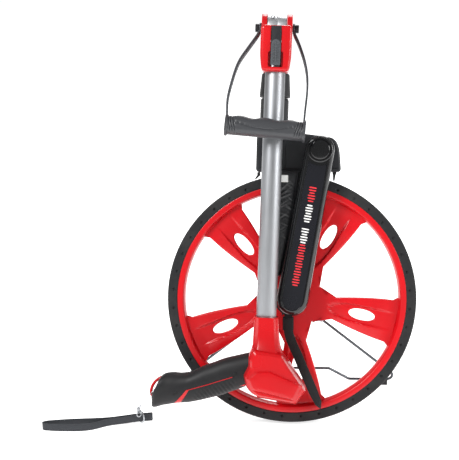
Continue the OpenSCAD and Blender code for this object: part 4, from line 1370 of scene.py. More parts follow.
@dataclass
class Pole:
    """The two tubes, the stem with its sleeve, and both blocks of the fold joint."""

    def build(self, pole: Place, head: Place) -> None:
        """Makes the tubes and the joint's blocks.

        Args:
            pole: the pole's place.
            head: the head's place.
        """
        r = SIZE.tube_r
        low = rounded([(11, 168.5), (r, 168.5), (r, 320.5), (11, 320.5)], 0.5, 3)
        Shell(pole).lathe(low, 96, loop=True).piece("lower_pole_tube", TUBE, Body.FORK, ["lower_tube"])
        up = rounded([(11, -60), (r, -60), (r, 318.5), (11, 318.5)], 0.5, 3)
        Shell(head).lathe(up, 96, loop=True).piece("upper_pole_tube", TUBE, Body.HANDLE, ["upper_tube"])
        stem = rounded([(12.6, 212.8), (18.6, 212.8), (18.2, 215), (17.9, 254), (16.9, 256.5),
                        (12.6, 256.5)], 0.7, 4)
        Shell(pole).lathe(stem, 96, loop=True).piece("pole_stem_turned", BLACK_GRAIN, Body.FORK,
                                                     ["pole_stem"])
        sleeve = rounded([(12.6, 257.5), (19.4, 257.5), (19.7, 260), (18.6, 275), (17.8, 286.5),
                          (17.0, 287.9),
                          (12.6, 287.9)], 0.8, 4)
        Shell(pole).lathe(sleeve, 96, loop=True).piece("stem_sleeve_turned", BLACK_GRAIN, Body.FORK,
                                                       ["stem_sleeve"])
        self.upper_block(pole)
        self.lower_block(pole)
        eased("fold_pin", BLACK_STEEL, 0.6)
        self.lever(pole)

    def upper_block(self, pole: Place) -> None:
        """Makes the red block: rounded shoulders, a channel for the latch, a finger recess and two cheeks.

        Args:
            pole: the pole's place.
        """
        z, y = SIZE.fold_z, SIZE.fold_y
        corners = [(-15.8, z - 57), (15.8, z - 57), (17.6, z - 52), (19.2, z - 38), (19.2, z - 0.2),
                   (-19.2, z - 0.2),
                   (-19.2, z - 38), (-17.6, z - 52)]
        rings = [(4.2, -68.0), (2.2, -67.6), (1.0, -66.7), (0.3, -65.2), (0, -63), (0, -36), (0.5, -34.6),
                 (1.6, -34)]
        block = Shell(pole).block(corners, 4.5, rings, 7).piece(
            "fold_block_upper", HEAD_RED, Body.HANDLE, ["upper_knuckle"], slot="red_plastic")
        channel = [(-6.75, z - 51), (6.75, z - 51), (6.75, z + 9), (-6.75, z + 9)]
        cut(block, Shell(pole).slab(np.array(channel), [(0, -72), (0, -60)]).piece("channel", HEAD_RED,
                                                                                   Body.HANDLE))
        recess = rounded([(-8.8, z - 51.5), (8.8, z - 51.5), (8.8, z - 33), (-8.8, z - 33)], 2.0, 5)
        cut(block, Shell(pole).slab(recess, [(-1, -69), (0, -67), (0.4, -63.5)]).piece("recess", HEAD_RED,
                                                                                       Body.HANDLE))
        bore = Shell(pole.moved(0, -SIZE.pitch, 0)).lathe([(0.01, 280), (12.6, 280), (12.6, 318),
                                                           (0.01, 318)], 64)
        cut(block, bore.piece("bore", HEAD_RED, Body.HANDLE))
        shell = Shell(pole)
        for side in (-1, 1):
            low, high = 12.4, 19.2
            disc = rounded([(4.1, low), (17.5, low), (17.5, high), (15.2, high + 0.02), (4.1, high)], 0.9,
                           4) * [1, side]
            shell.lathe(disc, 72, along_x, (0, y, z), loop=True)
            edge = [(low, -44.5), (high, -44.5), (high, -21), (low, -21)]
            ring = rounded(edge, 0.9, 4) * [side, 1]
            levels = np.array([z - 16, z - 15.6, z - 1.5, z - 0.2])
            grid = np.stack([np.stack([ring[:, 0], ring[:, 1], h + 0 * ring[:, 0]], axis=1) for h in levels],
                            axis=1)
            shell.grid(grid)
        shell.piece("fold_cheeks", HEAD_RED, Body.HANDLE, slot="red_plastic")

    def lower_block(self, pole: Place) -> None:
        """Makes the light block round the lower tube: two halves that meet in a slit, with a dark screw
        hole.

        Args:
            pole: the pole's place.
        """
        z, y = SIZE.fold_z, SIZE.fold_y
        shell = Shell(pole)
        for side in (-1, 1):
            drum = rounded([(4.1, 0.25), (16.5, 0.25), (16.5, 11.9), (4.1, 11.9)], 0.8, 4) * [1, side]
            shell.lathe(drum, 72, along_x, (0, y, z), loop=True)
            for (x0, x1), (y0, y1), (z0, z1) in [((0.2, 16), (-6.0, 17.5), (z - 54.5, z - 0.4)),
                                                 ((0.2, 11.9), (y, y + 20), (z - 14, z - 0.4)),
                                                 ((0.2, 16), (-16.5, -5.0), (z - 54.5, z - 20.0))]:
                ring = rounded([(x0, y0), (x1, y0), (x1, y1), (x0, y1)], 1.2, 4) * [side, 1]
                levels = ((z0, 0.8), (z0 + 0.8, 0.0), (z1 - 0.8, 0.0), (z1, 0.8))
                rows = [np.append(inset(ring, by), np.full((len(ring), 1), h), axis=1) for h, by in levels]
                shell.grid(np.stack(rows, axis=1))
        shell.piece("fold_block_lower", BLOCK, Body.FORK, ["lower_knuckle"], sharp=30, slot="aluminium")
        hole = Shell(pole.moved(-5.6, y, z).turned(0, -52))
        hole.lathe([(0.05, 16.2), (2.0, 16.3), (2.3, 16.75), (2.9, 16.8), (3.1, 16.2), (3.1, 15)], 40, on_y)
        hole.piece("fold_block_screw", BLACK_STEEL, Body.FORK)

    def lever(self, pole: Place) -> None:
        """Makes the latch lever: a dark upper pad over a ridged grey pad with an arched top.

        Args:
            pole: the pole's place.
        """
        front, z = -70.0, SIZE.fold_z
        grey = rounded([(-5.9, z - 49.5), (5.9, z - 49.5), (5.9, z - 24), (4.4, z - 19.6), (0, z - 17.6),
                        (-4.4, z - 19.6),
                        (-5.9, z - 24)], 1.6, 4)
        shell = Shell(pole).slab(grey, [(0, front + 3), (0, front + 0.6), (0.5, front + 0.1), (1.2, front)])
        for k in range(8):
            ridge = rounded([(-4.4, 0), (4.4, 0), (4.4, 1.5), (-4.4, 1.5)], 0.6, 3) + [0, z - 46.5 + 3.1 * k]
            shell.slab(ridge, [(0, front + 0.3), (0, front - 0.3), (0.35, front - 0.7), (0.6, front - 0.75)])
        shell.piece("latch_lever_pad", LEVER_GREY, Body.LATCH, ["latch_lever"])
        dark = rounded([(-6.1, z - 26), (6.1, z - 26), (6.1, z - 1.8), (-6.1, z - 1.8)], 1.4, 4)
        Shell(pole).slab(dark, [(0, front + 4.6), (0, front + 1.4), (0.6, front + 0.8),
                                (1.4, front + 0.7)]).piece(
            "latch_lever_head", LEVER_DARK, Body.LATCH)
        rib = rounded([(-0.7, z - 46), (0.7, z - 46), (0.7, z - 21), (-0.7, z - 21)], 0.5, 3)
        Shell(pole).slab(rib, [(0, front + 0.3), (0, front - 0.8), (0.3, front - 1.0)]).piece(
            "latch_lever_rib", LEVER_GREY, Body.LATCH)


@dataclass
class Bail:
    """The folding carry handle: one bent strip, and a shaped rubber grip on its crossbar."""

    strip_t: float = 2.6
    strip_w: float = 10.0
    long: float = 90.0
    thick: float = 24.0
    middle: tuple[float, float] = (-9.4, -136.0)
    tilt: float = 3.5

    def route(self) -> Array:
        """Returns the strip's route in the bail's plane, from one pivot round to the other."""
        a = math.radians(self.tilt)
        mid = np.array(self.middle)
        end = (self.long / 2 + 0.3 + self.strip_t / 2) * np.array([math.cos(a), -math.sin(a)])
        left = [(-20.9, 4), (-20.9, -6), (-34, -28), (-47, -50), (-54, -80), (-57.5, -101)]
        right = [(40.6, -85), (39.8, -64), (35.5, -43), (27.5, -20), (20.9, -6), (20.9, 4)]
        turn = [tuple(mid - end + [-0.8, 12]), tuple(mid - end), tuple(mid + end),
                tuple(mid + end + [1.1, 24])]
        return np.array(left + turn + right)

    def build(self, place: Place) -> None:
        """Makes the strip, its pivot eyes and the grip.

        Args:
            place: the place that it is drawn in.
        """
        way = rounded(self.route(), 16.0, 9, closed=False)
        section = rounded([(-self.strip_t / 2, -self.strip_w / 2), (self.strip_t / 2, -self.strip_w / 2),
                           (self.strip_t / 2, self.strip_w / 2), (-self.strip_t / 2, self.strip_w / 2)], 0.5,
                           3)
        shell = Shell(place).grid(sweep(upright(way, 0.0), section, (0, 1, 0)))
        for side in (-1, 1):
            eye = rounded([(4.15, -1.35), (6.6, -1.35), (6.6, 1.35), (4.15, 1.35)], 0.4, 3)
            shell.lathe(eye, 48, along_x, (side * 20.9, 0, 0), loop=True)
        shell.piece("bail_bent_strip", STRIP, Body.BAIL, ["bail_strip"], sharp=45)
        self.grip(place.moved(self.middle[0], 0, self.middle[1]).turned(1, self.tilt))

    def grip(self, place: Place) -> None:
        """Makes the grip: a soft square section with finger waves on top, a curved groove, and end flanges.

        Args:
            place: the place that it is drawn in.
        """
        t = np.linspace(-1, 1, 321)
        x = t * (self.long / 2 + 4.4)
        body = 1 - 0.9 * ramp(np.abs(t), 0.9935, 1.0) ** 2 * 0.16
        tall = 11.2 + 1.3 * np.cos(3.2 * math.pi * t) * (1 - ramp(np.abs(t), 0.8, 0.88))
        flange = ramp(np.abs(t), 0.925, 0.94)
        around = superellipse(1, 1, 2.5, 72)
        up = around[:, None, 1] > 0
        deep = (10.1 + 0.9 * flange)[None] * body
        high = np.where(up, (tall + (13.4 - tall) * flange)[None], (11.9 + 1.6 * flange)[None]) * body
        y, z = around[:, None, 0] * deep, around[:, None, 1] * high
        smile = z - (-5.2 + 6.4 * (x[None] / 36) ** 2)
        groove = np.exp(-(smile / 0.7) ** 2) * (np.abs(x[None]) < 37)
        for at in (38.5, 41.5, 44.5):
            groove = groove + np.exp(-((np.abs(x[None]) - at - 0.25 * z) / 0.55) ** 2) * (np.abs(t) < 0.92)
        y = y + 1.3 * np.clip(groove, 0, 1) * (y < 0)
        p = np.stack([x[None] + 0 * y, y, z], axis=2)
        # the grip's grey, lighter than the rubber near it, is painted highlight for the light on its top
        Shell(place).grid(p).piece("bail_soft_grip", LIT_GRIP_GREY, Body.BAIL, ["bail_grip"], sharp=60,
                                   slot="rubber")


@dataclass
class Head:
    """The red head under the fold: neck, faceted pod with its battery cover, and rubber pistol grip."""

    def build(self, head: Place, face: Place) -> None:
        """Makes the pod, the neck, the cover, the grip with its lug loop, the display and the buttons.

        Args:
            head: the head's place.
            face: the display's place.
        """
        self.pod(head)
        self.cover(head)
        self.core(head)
        self.rubber(head)
        self.loop(head)
        self.face(face)

    def pod(self, place: Place) -> None:
        """Makes the pod with chamfered edges in steps, and the neck that widens down into it.

        Args:
            place: the place that it is drawn in.
        """
        low = np.array([(20, -59), (29, -72), (47.5, -97.6), (53, -104.4), (41.5, -122), (-7.3, -115.2),
                        (-15.2, -111),
                        (-21.5, -103.6), (-25.5, -90), (-19.5, -77.5), (-20, -65.2), (-15.5, -55)])
        mid = (13.0, -92.0)
        rings = [(0.80, -30.0), (0.84, -30.0), (0.93, -27.4), (0.995, -19.0), (1.0, -16.5)]
        shell = Shell(place).dome(low, 3.0, mid, rings + [(by, -y) for by, y in rings[::-1]], 4)
        z = np.array([-17.5, -18.3, -27, -40, -52, -62, -72])
        left = np.array([-14.6, -15.0, -15.0, -15.3, -15.5, -18, -18])
        right = np.array([14.8, 15.3, 16.1, 17, 18.6, 22, 29])
        deep = np.array([16.0, 16.5, 16.5, 16.5, 19, 25, 26])
        around = rounded([(-1, -0.45), (-0.62, -1), (0.62, -1), (1, -0.45), (1, 0.45), (0.62, 1), (-0.62, 1),
                          (-1, 0.45)],
                         0.12, 3)
        x = (left + right)[None] / 2 + around[:, :1] * (right - left)[None] / 2
        shell.grid(np.stack([x, around[:, 1:] * deep[None], z[None] + 0 * x], axis=2))
        shell.piece("head_pod", HEAD_RED, Body.HANDLE, ["head_front", "head_rear"], sharp=26,
                    slot="red_plastic")

    def cover(self, place: Place) -> None:
        """Makes the raised side cover, with a bevel that catches the light.

        Args:
            place: the place that it is drawn in.
        """
        corners = [(-11, -81.6), (7.3, -80.9), (49, -97.4), (39.5, -116.5), (-14.5, -105.7), (-22, -91)]
        rings = [(0.97, -26), (1.0, -28.6), (0.995, -29.4), (0.88, -32.6), (0.865, -32.9), (0.84, -33.0),
                 (0.5, -33.0)]
        Shell(place).dome(corners, 3.0, (12.0, -97.5), rings).piece("battery_side_cover", HEAD_RED,
                                                                    Body.HANDLE,
                                                                     ["side_cover"], sharp=24,
                                                                     slot="red_plastic")

    def core(self, place: Place) -> None:
        """Makes the red core of the grip, which shows as a band between the two rubber parts.

        Args:
            place: the place that it is drawn in.
        """
        outline = rounded([(-19, -68), (-50, -76.5), (-76, -87.5), (-93, -95), (-106, -97), (-118, -97.5),
                           (-126, -101),
                           (-131, -109), (-129, -117), (-134, -124), (-134, -130), (-106, -126), (-66, -118),
                           (-39, -109.5), (-20, -104)], 3.0, 4)
        rings = [(5, -13.2), (2.2, -12.4), (0.8, -10), (0.8, 10), (2.2, 12.4), (5, 13.2)]
        Shell(place).slab(outline, rings).piece("grip_red_core", HEAD_RED, Body.HANDLE, slot="red_plastic")

    def rails(self, count: int) -> tuple[Array, Array]:
        """Returns the grip's upper and lower lines as (x, z), from the pod to the end.

        Args:
            count: how many points to return.

        Returns:
            The two lines.
        """
        upper = curve([(-18.5, -63.4), (-34, -67.6), (-50.7, -72.4), (-63, -77.6), (-75.5, -82.5),
                       (-84.5, -87.4),
                       (-92.4, -91.2), (-99, -92.4), (-104.7, -93), (-112, -92.6), (-118.4, -93.2),
                       (-123.5, -94.4),
                       (-127.5, -96.8), (-131.5, -102), (-133.5, -107.7)], count)
        lower = curve([(-23, -106.2), (-31, -109.6), (-39.4, -113), (-52.5, -118.3), (-66.4, -122.5),
                       (-80, -126.3),
                       (-94.2, -129.4), (-101, -130.2), (-108.4, -131), (-124, -134), (-139.4, -136.4),
                       (-140, -129.5),
                       (-139.6, -121.5), (-136, -120.6), (-132.2, -115)], count)
        return upper, lower

    def rubber(self, place: Place) -> None:
        """Makes the rubber grip: rounded sections from the upper line to the lower one, ribbed underneath, and
        the red core's inlay along each side.

        Args:
            place: the place that it is drawn in.
        """
        upper, lower = self.rails(220)
        cross = superellipse(1, 1, 2.5, 96)
        t = np.linspace(0, 1, 220)
        half_deep = 16.9 - 4.5 * ramp(t, 0.84, 1.0) ** 2
        middle, lift = (upper + lower) / 2, (upper - lower) / 2
        share = cross[:, None, 1:]
        p = middle[None] + share * lift[None]
        y = cross[:, 0, None] * half_deep[None]
        down = (1 - share[..., 0]) / 2
        ribs = 0.7 * np.sin(2 * math.pi * (p[..., 0] * 0.8 + p[..., 1] * 0.6) / 4.6)
        ribbed = ramp(down, 0.62, 0.72) * ramp(t, 0.08, 0.14) * (1 - ramp(t, 0.42, 0.5))
        y = y + np.sign(y) * ribs * ribbed * (np.abs(cross[:, None, 0]) > 0.5)
        grid = np.stack([p[..., 0], y, p[..., 1]], axis=2)
        Shell(place).grid(grid).piece("pistol_grip", GRIP, Body.HANDLE, ["grip_rubber"], sharp=50,
                                      slot="rubber")
        self.inlay(place, upper, lower, half_deep)

    def inlay(self, place: Place, upper: Array, lower: Array, half_deep: Array) -> None:
        """Makes the red core where it shows, a line along each side with a slanted band under it, and the screw
        wells, shallow dishes in near-black painted shade.

        Args:
            place: the place that it is drawn in.
            upper: the grip's upper line.
            lower: its lower line.
            half_deep: its half depth along the lines.
        """
        shell = Shell(place)
        where = np.linspace(0, 1, len(upper))

        def skin(t: Array, down: Array, side: int, lay: float) -> Array:
            """Returns points on the grip's side, a share down from the upper line, lifted by lay.

            Args:
                t: shares along the lines.
                down: shares from the upper line to the lower one.
                side: -1 for the front, 1 for the back.
                lay: how far to lift, in millimetres.

            Returns:
                Points (N, 3).
            """
            a = np.stack([np.interp(t, where, upper[:, k]) for k in (0, 1)], axis=-1)
            b = np.stack([np.interp(t, where, lower[:, k]) for k in (0, 1)], axis=-1)
            at = a + (b - a) * down[..., None]
            deep = np.interp(t, where, half_deep) * (1 - np.abs(1 - 2 * down) ** 2.5) ** 0.4
            return np.stack([at[..., 0], side * (deep + lay), at[..., 1]], axis=-1)

        for side in (-1, 1):
            t = np.linspace(0.14, 0.575, 90)
            across = np.array([-1.0, -0.8, 0.8, 1.0])[:, None]
            lay = np.array([-0.8, 0.22, 0.22, -0.8])
            rows = [skin(t, 0.53 + 0.05 * t + 0.012 * a, side, k) for a, k in zip(across[:, 0], lay)]
            shell.grid(np.stack(rows + [rows[3] - [0, side * 2, 0], rows[0] - [0, side * 2, 0]]))
            down = np.linspace(0.545, 0.985, 40)
            low = (down - 0.55) / 0.45
            rows = [skin(0.56 + 0.05 * low + (0.018 + 0.016 * low) * a, down, side, k)
                    for a, k in zip(across[:, 0], lay)]
            shell.grid(np.stack(rows + [rows[3] - [0, side * 2, 0], rows[0] - [0, side * 2, 0]]))
        shell.piece("grip_red_inlay", HEAD_RED, Body.HANDLE, slot="red_plastic")
        # near-black dishes at the screws: painted shade, so that the shallow wells read as holes
        wells = Shell(place)
        around = np.linspace(0, 2 * math.pi, 32, endpoint=False)
        for side in (-1, 1):
            for t0, down0 in ((0.118, 0.5), (0.666, 0.6)):
                rings = [(1.0, -0.5), (1.0, 0.35), (0.88, 0.5), (0.7, 0.25), (0.2, 0.2), (0.2, -0.5)]
                rows = [skin(t0 + 0.022 * k * np.cos(around), down0 + 0.07 * k * np.sin(around), side, lay)
                        for k, lay in rings]
                wells.grid(np.stack(rows, axis=1))
        wells.piece("grip_screw_well_shade", WELL_SHADE, Body.HANDLE)

    def loop(self, place: Place) -> None:
        """Makes the red lug loop at the end of the grip.

        Args:
            place: the place that it is drawn in.
        """
        way = curve([(-125, -98.3), (-130.5, -100.6), (-135.2, -104.2), (-138.8, -109), (-141, -115),
                     (-141.2, -120.5),
                     (-138.5, -123.5), (-133, -122)], 70)
        section = superellipse(1.9, 2.7, 3.2, 20)
        Shell(place).grid(sweep(upright(way, 0.0), section, (0, 1, 0))).piece("grip_lug_loop", HEAD_RED,
                                                                              Body.HANDLE)

    def face(self, place: Place) -> None:
        """Makes the display's frame, window and the rubber keys on the underside.

        Args:
            place: the place that it is drawn in.
        """
        eased("display_frame", HEAD_RED, 0.5)
        eased("display_glass", WINDOW, 0.25)
        kept("display_module", LCD)
        kept("circuit_board", GREEN_BOARD)
        for i, (x, y) in enumerate([(-20, 10), (-8, 10), (-20, -10), (-8, -10)], 1):
            key = rounded([(0.05, -1.6), (2.4, -1.5), (3.8, -0.9), (4, 0.2), (4, 3), (5, 3.1), (5, 3.8),
                           (2.5, 3.8),
                           (2.5, 10.4), (0.05, 10.4)], 0.5, 3)
            Shell(place).lathe(key, 40, shift=(x, y, 0)).piece(
                f"key_{i}", BLACK_GRAIN, Body(f"button_{i}"), [f"button_{i}"])


@dataclass
class Strap:
    """The padded strap in front of the fork, its white tag, the anchor with its buckle and the tail."""

    top: float = 164.5
    base: float = 31.0
    middle_y: float = -23.5
    half_thick: float = 7.6
    fold_count: int = 26

    def edges(self, z: Array) -> tuple[Array, Array]:
        """Returns the pad's left and right edges at heights z.

        Args:
            z: heights in millimetres.

        Returns:
            The left and the right edge.
        """
        zs = [31, 33, 42, 60, 100, 120, 161]
        left = np.interp(z, zs, [-30.0, -31.6, -33.2, -36, -36, -36, -34])
        right = np.interp(z, zs, [-15.0, -13.5, -11.0, -7.0, 0.5, 4.0, 10])
        return left, right

    def pad(self, place: Place) -> None:
        """Makes the pad: a stuffed body, pinched at its edges, with diagonal folds under the crown and a
        piped seam.

        The cushion's depth is (1 - s^4)^(1/2) across its width, and each fold is a soft ridge along a
        slanted line.

        Args:
            place: the place that it is drawn in.
        """
        z = np.linspace(self.base, self.top, 220)
        s = np.linspace(-1, 1, 64)
        left, right = self.edges(z)
        x = (left + right)[None] / 2 + s[:, None] * (right - left)[None] / 2
        ends = np.sqrt(np.clip(1 - np.abs(2 * (z - self.base) / (self.top - self.base) - 1) ** 14, 0.02, 1))
        plump = np.clip(1 - np.abs(s[:, None]) ** 4.5, 0, 1) ** 0.5 * ends[None]
        rng = np.random.default_rng(7)
        folds = np.zeros_like(x)
        for k in range(self.fold_count):
            zc = rng.uniform(52, 158) if k > 9 else 156 - 7.2 * k
            lean = rng.uniform(0.35, 0.9) * (1 if k % 2 else -1)
            wide = rng.uniform(0.9, 2.0)
            mid = rng.uniform(-26, -4)
            line = (z[None] - zc) - lean * (x - mid)
            reach = np.exp(-((x - mid) / rng.uniform(7, 15)) ** 2)
            strong = 0.95 * np.clip((zc - 40) / 90, 0.25, 1)
            crest, trough = np.exp(-(line / wide) ** 2), np.exp(-((line + 1.9 * wide) / wide) ** 2)
            folds += strong * reach * (crest - 0.6 * trough)
        puffs = 0.5 * np.sin(z[None] / 9.0 + 1.5 * np.sin(x / 8.0))
        seam = -0.9 * np.exp(-((np.abs(s[:, None]) - 0.86) / 0.03) ** 2)
        front = self.middle_y - plump * (7.4 + 0.8 * folds + puffs * 0.6) - seam * plump
        back = self.middle_y + plump * self.half_thick
        flow = np.stack([x, z[None] + 0 * x], axis=2)
        shell = Shell(place)
        rows = np.concatenate([np.stack([x, front, z[None] + 0 * x], 2),
                               np.stack([x, back, z[None] + 0 * x], 2)[::-1]])
        shell.grid(rows, flow=np.concatenate([flow, flow[::-1]]))
        pad = shell.piece("padded_strap", PAD, Body.FORK, ["strap_pad"], sharp=70, slot="pad_fabric")
        self.piping(place, z)

    def piping(self, place: Place, z: Array) -> None:
        """Makes the corded edge along both sides of the pad.

        Args:
            place: the place that it is drawn in.
            z: heights in millimetres.
        """
        left, right = self.edges(z)
        shell = Shell(place)
        for x in (left - 0.2, right + 0.2):
            shell.tube(np.stack([x, self.middle_y + 0 * z, z], axis=1)[2:-2], 1.1, (0, 1, 0), 10)
        shell.piece("strap_piping", TAPE, Body.FORK)

    def label(self, place: Place) -> None:
        """Makes the white tag, a little curled, sewn down along its top.

        Args:
            place: the place that it is drawn in.
        """
        u, v = np.meshgrid(np.linspace(-13.4, -4.6, 14), np.linspace(150.0, 158.8, 14), indexing="ij")
        y = -32.25 + 0.35 * ((v - 150) / 8.8) - 0.1 * np.sin((u + 13) / 2.4)
        front, back = np.stack([u, y - 0.2, v], 2), np.stack([u, y + 0.2, v], 2)
        rim = [front[:, 0], front[-1, 1:], front[-2::-1, -1], front[0, -2:0:-1]]
        rim2 = [back[:, 0], back[-1, 1:], back[-2::-1, -1], back[0, -2:0:-1]]
        shell = Shell(place).grid(front, wrap=False).grid(back, wrap=False)
        shell.grid(np.stack([np.concatenate(rim), np.concatenate(rim2)], 1), capped=False)
        shell.piece("strap_tag", LABEL, Body.FORK, ["strap_label"], slot="label_fabric")

    def tail(self, place: Place) -> None:
        """Makes the hanging tail of webbing, which twists as it crosses the rim and ends in a point.

        Args:
            place: the place that it is drawn in.
        """
        way = curve([(-4, -18.1, -24.2), (-3.8, -18.2, -34), (-3.2, -18.3, -42), (0.6, -17.0, -54),
                     (8, -16.0, -71),
                     (16, -15.8, -90), (23, -15.8, -106), (29, -16, -120), (34, -16.6, -131),
                     (37.6, -17.4, -139.5)], 160)
        t = np.linspace(0, 1, 160)
        twist = np.interp(t, [0, 0.55, 0.68, 0.8, 0.9, 1.0], np.radians([0, 0, 8, 18, 38, 62]))
        point = np.clip((1.0 - t) / 0.055, 0.06, 1) ** 0.8
        section = rounded([(-6, -0.6), (6, -0.6), (6, 0.6), (-6, 0.6)], 0.45, 3)
        grid = sweep(way, section, (0, 1, 0), twist)
        grid = way[None] + (grid - way[None]) * (0.15 + 0.85 * point)[None, :, None]
        along = np.concatenate([[0], np.cumsum(np.linalg.norm(np.diff(way, axis=0), axis=1))])
        flow = np.stack([section[:, :1] + 0 * along[None], along[None] + 0 * section[:, :1]], axis=2)
        Shell(place).grid(grid, flow=flow).piece("strap_tail", TAPE, Body.FORK, ["strap_webbing"], sharp=50,
                                                 slot="webbing")

    def anchor(self, place: Place) -> None:
        """Makes the anchor's loop of webbing round its bar, and the ladder buckle.

        Args:
            place: the place that it is drawn in.
        """
        y = SIZE.front_y + 19.9
        loop = rounded([(y - 2.0, -17.5 + 2.0), (y + 2.0, -17.5 + 2.0), (y + 2.0, -25.2), (y - 2.0, -25.2)],
                       1.9, 7)
        path = np.stack([0 * loop[:, 0] - 4, loop[:, 0], loop[:, 1]], axis=1)
        section = np.array([(-5, -0.5), (5, -0.5), (5, 0.5), (-5, 0.5)])
        centre = path.mean(axis=0)
        out = (path - centre) / np.linalg.norm(path - centre, axis=1, keepdims=True)
        grid = path[None] + section[:, None, :1] * [1.0, 0, 0] + section[:, None, 1:] * out[None]
        Shell(place).grid(grid, loop=True).piece("strap_anchor_loop", TAPE, Body.FORK, ["strap_anchor"],
                                                 sharp=60)
        eased("strap_buckle", BLACK_GRAIN, 0.4)

    def build(self, place: Place) -> None:
        """Makes the whole strap.

        Args:
            place: the place that it is drawn in.
        """
        self.pad(place)
        self.label(place)
        self.tail(place)
        self.anchor(place)


@dataclass
class Stand:
    """The wire kickstand: one bent rod, its bracket, ferrules and feet."""

    wire_r: float = 1.75
    half: float = 150.0
    leg_in: float = 27.0

    def corners(self) -> tuple[list, list]:
        """Returns the rod's corners in the leg's plane and the bend at each, from one ferrule to the other.
        """
        n = self.leg_in
        top, foot = np.array([n + 0.5, -n + 16]), np.array([self.half, -SIZE.stand_len])
        start = top + 2.2 * (foot - top) / np.linalg.norm(foot - top)
        right = [(52.0, 19.5 - SIZE.stand_len), (80.0, -SIZE.stand_len), tuple(foot), tuple(start)]
        left = [(-x, z) for x, z in right[::-1]]
        return left + right, [0, 7.5, 8, 8, 8, 8, 7.5, 0]

    def way(self) -> Array:
        """Returns the rod's middle line: straights joined by arcs that touch both."""
        p, bends = self.corners()
        p = np.array(p)
        out = [p[:1]]
        for i in range(1, len(p) - 1):
            a, b = p[i] - p[i - 1], p[i + 1] - p[i]
            a, b = a / np.linalg.norm(a), b / np.linalg.norm(b)
            turn = math.atan2(a[0] * b[1] - a[1] * b[0], float(a @ b))
            start = p[i] - a * bends[i] * math.tan(abs(turn) / 2)
            k = np.linspace(0, turn, 14)[:, None]
            side = np.sign(turn) * np.array([-a[1], a[0]])
            out.append(start + bends[i] * (np.sin(np.abs(k)) * a + (1 - np.cos(k)) * side))
        out.append(p[-1:])
        return np.concatenate(out)

    def build(self, place: Place) -> None:
        """Makes the rod, and eases the fittings' edges.

        Args:
            place: the place that it is drawn in.
        """
        Shell(place).tube(upright(self.way(), 0.0), self.wire_r, (0, 1, 0), 24).piece(
            "stand_bent_wire", WIRE, Body.STAND, ["stand_wire"], sharp=60)
        eased("stand_bracket", BLACK_GRAIN, 0.7)
        eased("stand_ferrules", ZINC, 0.5)
        eased("stand_feet", BLACK_GRAIN, 0.9)


@dataclass
class Lanyard:
    """A wrist lanyard on the ground: webbing on edge, a split ring, a swivel, and the wire loop in the lug."""

    wide: float = 9.6
    thick: float = 1.5

    def route(self) -> Array:
        """Returns the webbing's middle line on the ground, in millimetres."""
        half = self.wide / 2
        out = [(-180, -41.8, 2.6), (-198, -45.4, 2.6), (-216, -49, 1.4), (-234, -52.2, 0.3),
               (-250, -55.0, 0.3),
               (-270, -57, 0.3), (-290, -59.4, 0.3), (-306, -62.2, 0.3), (-315, -64.4, 0.3),
               (-319.4, -67.6, 0.3)]
        back = [(-318, -71, 0.3), (-311, -72.6, 0.3), (-298, -73.6, 0.3), (-284, -73.9, 0.3),
                (-270, -73, 0.3),
                (-258, -70.2, 0.3), (-248.5, -65.4, 0.3), (-241, -60.4, 0.3), (-232, -56.6, 0.6),
                (-216, -53, 1.4),
                (-198, -49.3, 2.6), (-180, -45.7, 2.6)]
        return curve(np.array(out + back) + [0, 0, half], 420)

    def build(self, place: Place) -> None:
        """Args:
            place: the place that it is drawn in.
        """
        way = self.route()
        section = rounded([(-self.thick / 2, -self.wide / 2), (self.thick / 2, -self.wide / 2),
                           (self.thick / 2, self.wide / 2), (-self.thick / 2, self.wide / 2)], 0.35, 3)
        along = np.concatenate([[0], np.cumsum(np.linalg.norm(np.diff(way, axis=0), axis=1))])
        flow = np.stack([section[:, 1:] + 0 * along[None], along[None] + 0 * section[:, :1]], axis=2)
        tape = Shell(place).grid(sweep(way, section, (0, 0, 1)), flow=flow).piece(
            "lanyard_tape", LANYARD_TAPE, Body.FORK, ["lanyard_webbing"], sharp=50, slot="webbing")
        fittings = [eased(node, ZINC, 0.12, 60) for node in ("lanyard_ring", "lanyard_swivel",
                                                             "lanyard_wire")]
        line = place.at(way)
        LOG.info("lanyard webbing: %.0f mm long", along[-1])


# ---------------------------------------------------------------- the scene


@dataclass(frozen=True)
class Shot:
    """The camera: where it stands in the wheel's own frame, how far it looks aside, and its lens."""

    back: float = 1500.0
    up: float = 165.06
    lens: float = 91.3
    left: float = 3.05
    down: float = 2.94

    def build(self, place: Place) -> None:
        """Puts the camera square to the wheel's plane, turned aside so that the object sits in the picture.

        Args:
            place: the place that it is drawn in.
        """
        data = bpy.data.cameras.new("camera")
        data.lens = self.lens
        data.sensor_width = 36.0
        data.clip_end = 60.0
        camera = bpy.data.objects.new("camera", data)
        bpy.context.scene.collection.objects.link(camera)
        a, b = math.radians(self.left), math.radians(self.down)
        look = place.axes.T @ np.array([-math.sin(a) * math.cos(b), math.cos(a) * math.cos(b), -math.sin(b)])
        up = place.axes[2]
        right = np.cross(look, up)
        right /= np.linalg.norm(right)
        rows = np.stack([right, np.cross(right, look), -look], axis=1)
        matrix = np.eye(4)
        matrix[:3, :3] = rows
        matrix[:3, 3] = place.at(np.array([0, -self.back, self.up]))
        camera.matrix_world = Matrix(matrix.tolist())
        bpy.context.scene.camera = camera


@dataclass(frozen=True)
class Softbox:
    """One soft light: where it stands, how large and strong it is; it looks at the object's middle."""

    name: str
    at: tuple[float, float, float]
    size: float
    watts: float

    def build(self) -> None:
        """Makes the light."""
        data = bpy.data.lights.new(self.name, "AREA")
        data.shape = "SQUARE"
        data.size = self.size
        data.energy = self.watts
        light = bpy.data.objects.new(self.name, data)
        light.location = self.at
        light.rotation_euler = (Vector((0, 0, 0.2)) - Vector(self.at)).to_track_quat("-Z", "Y").to_euler()
        bpy.context.scene.collection.objects.link(light)


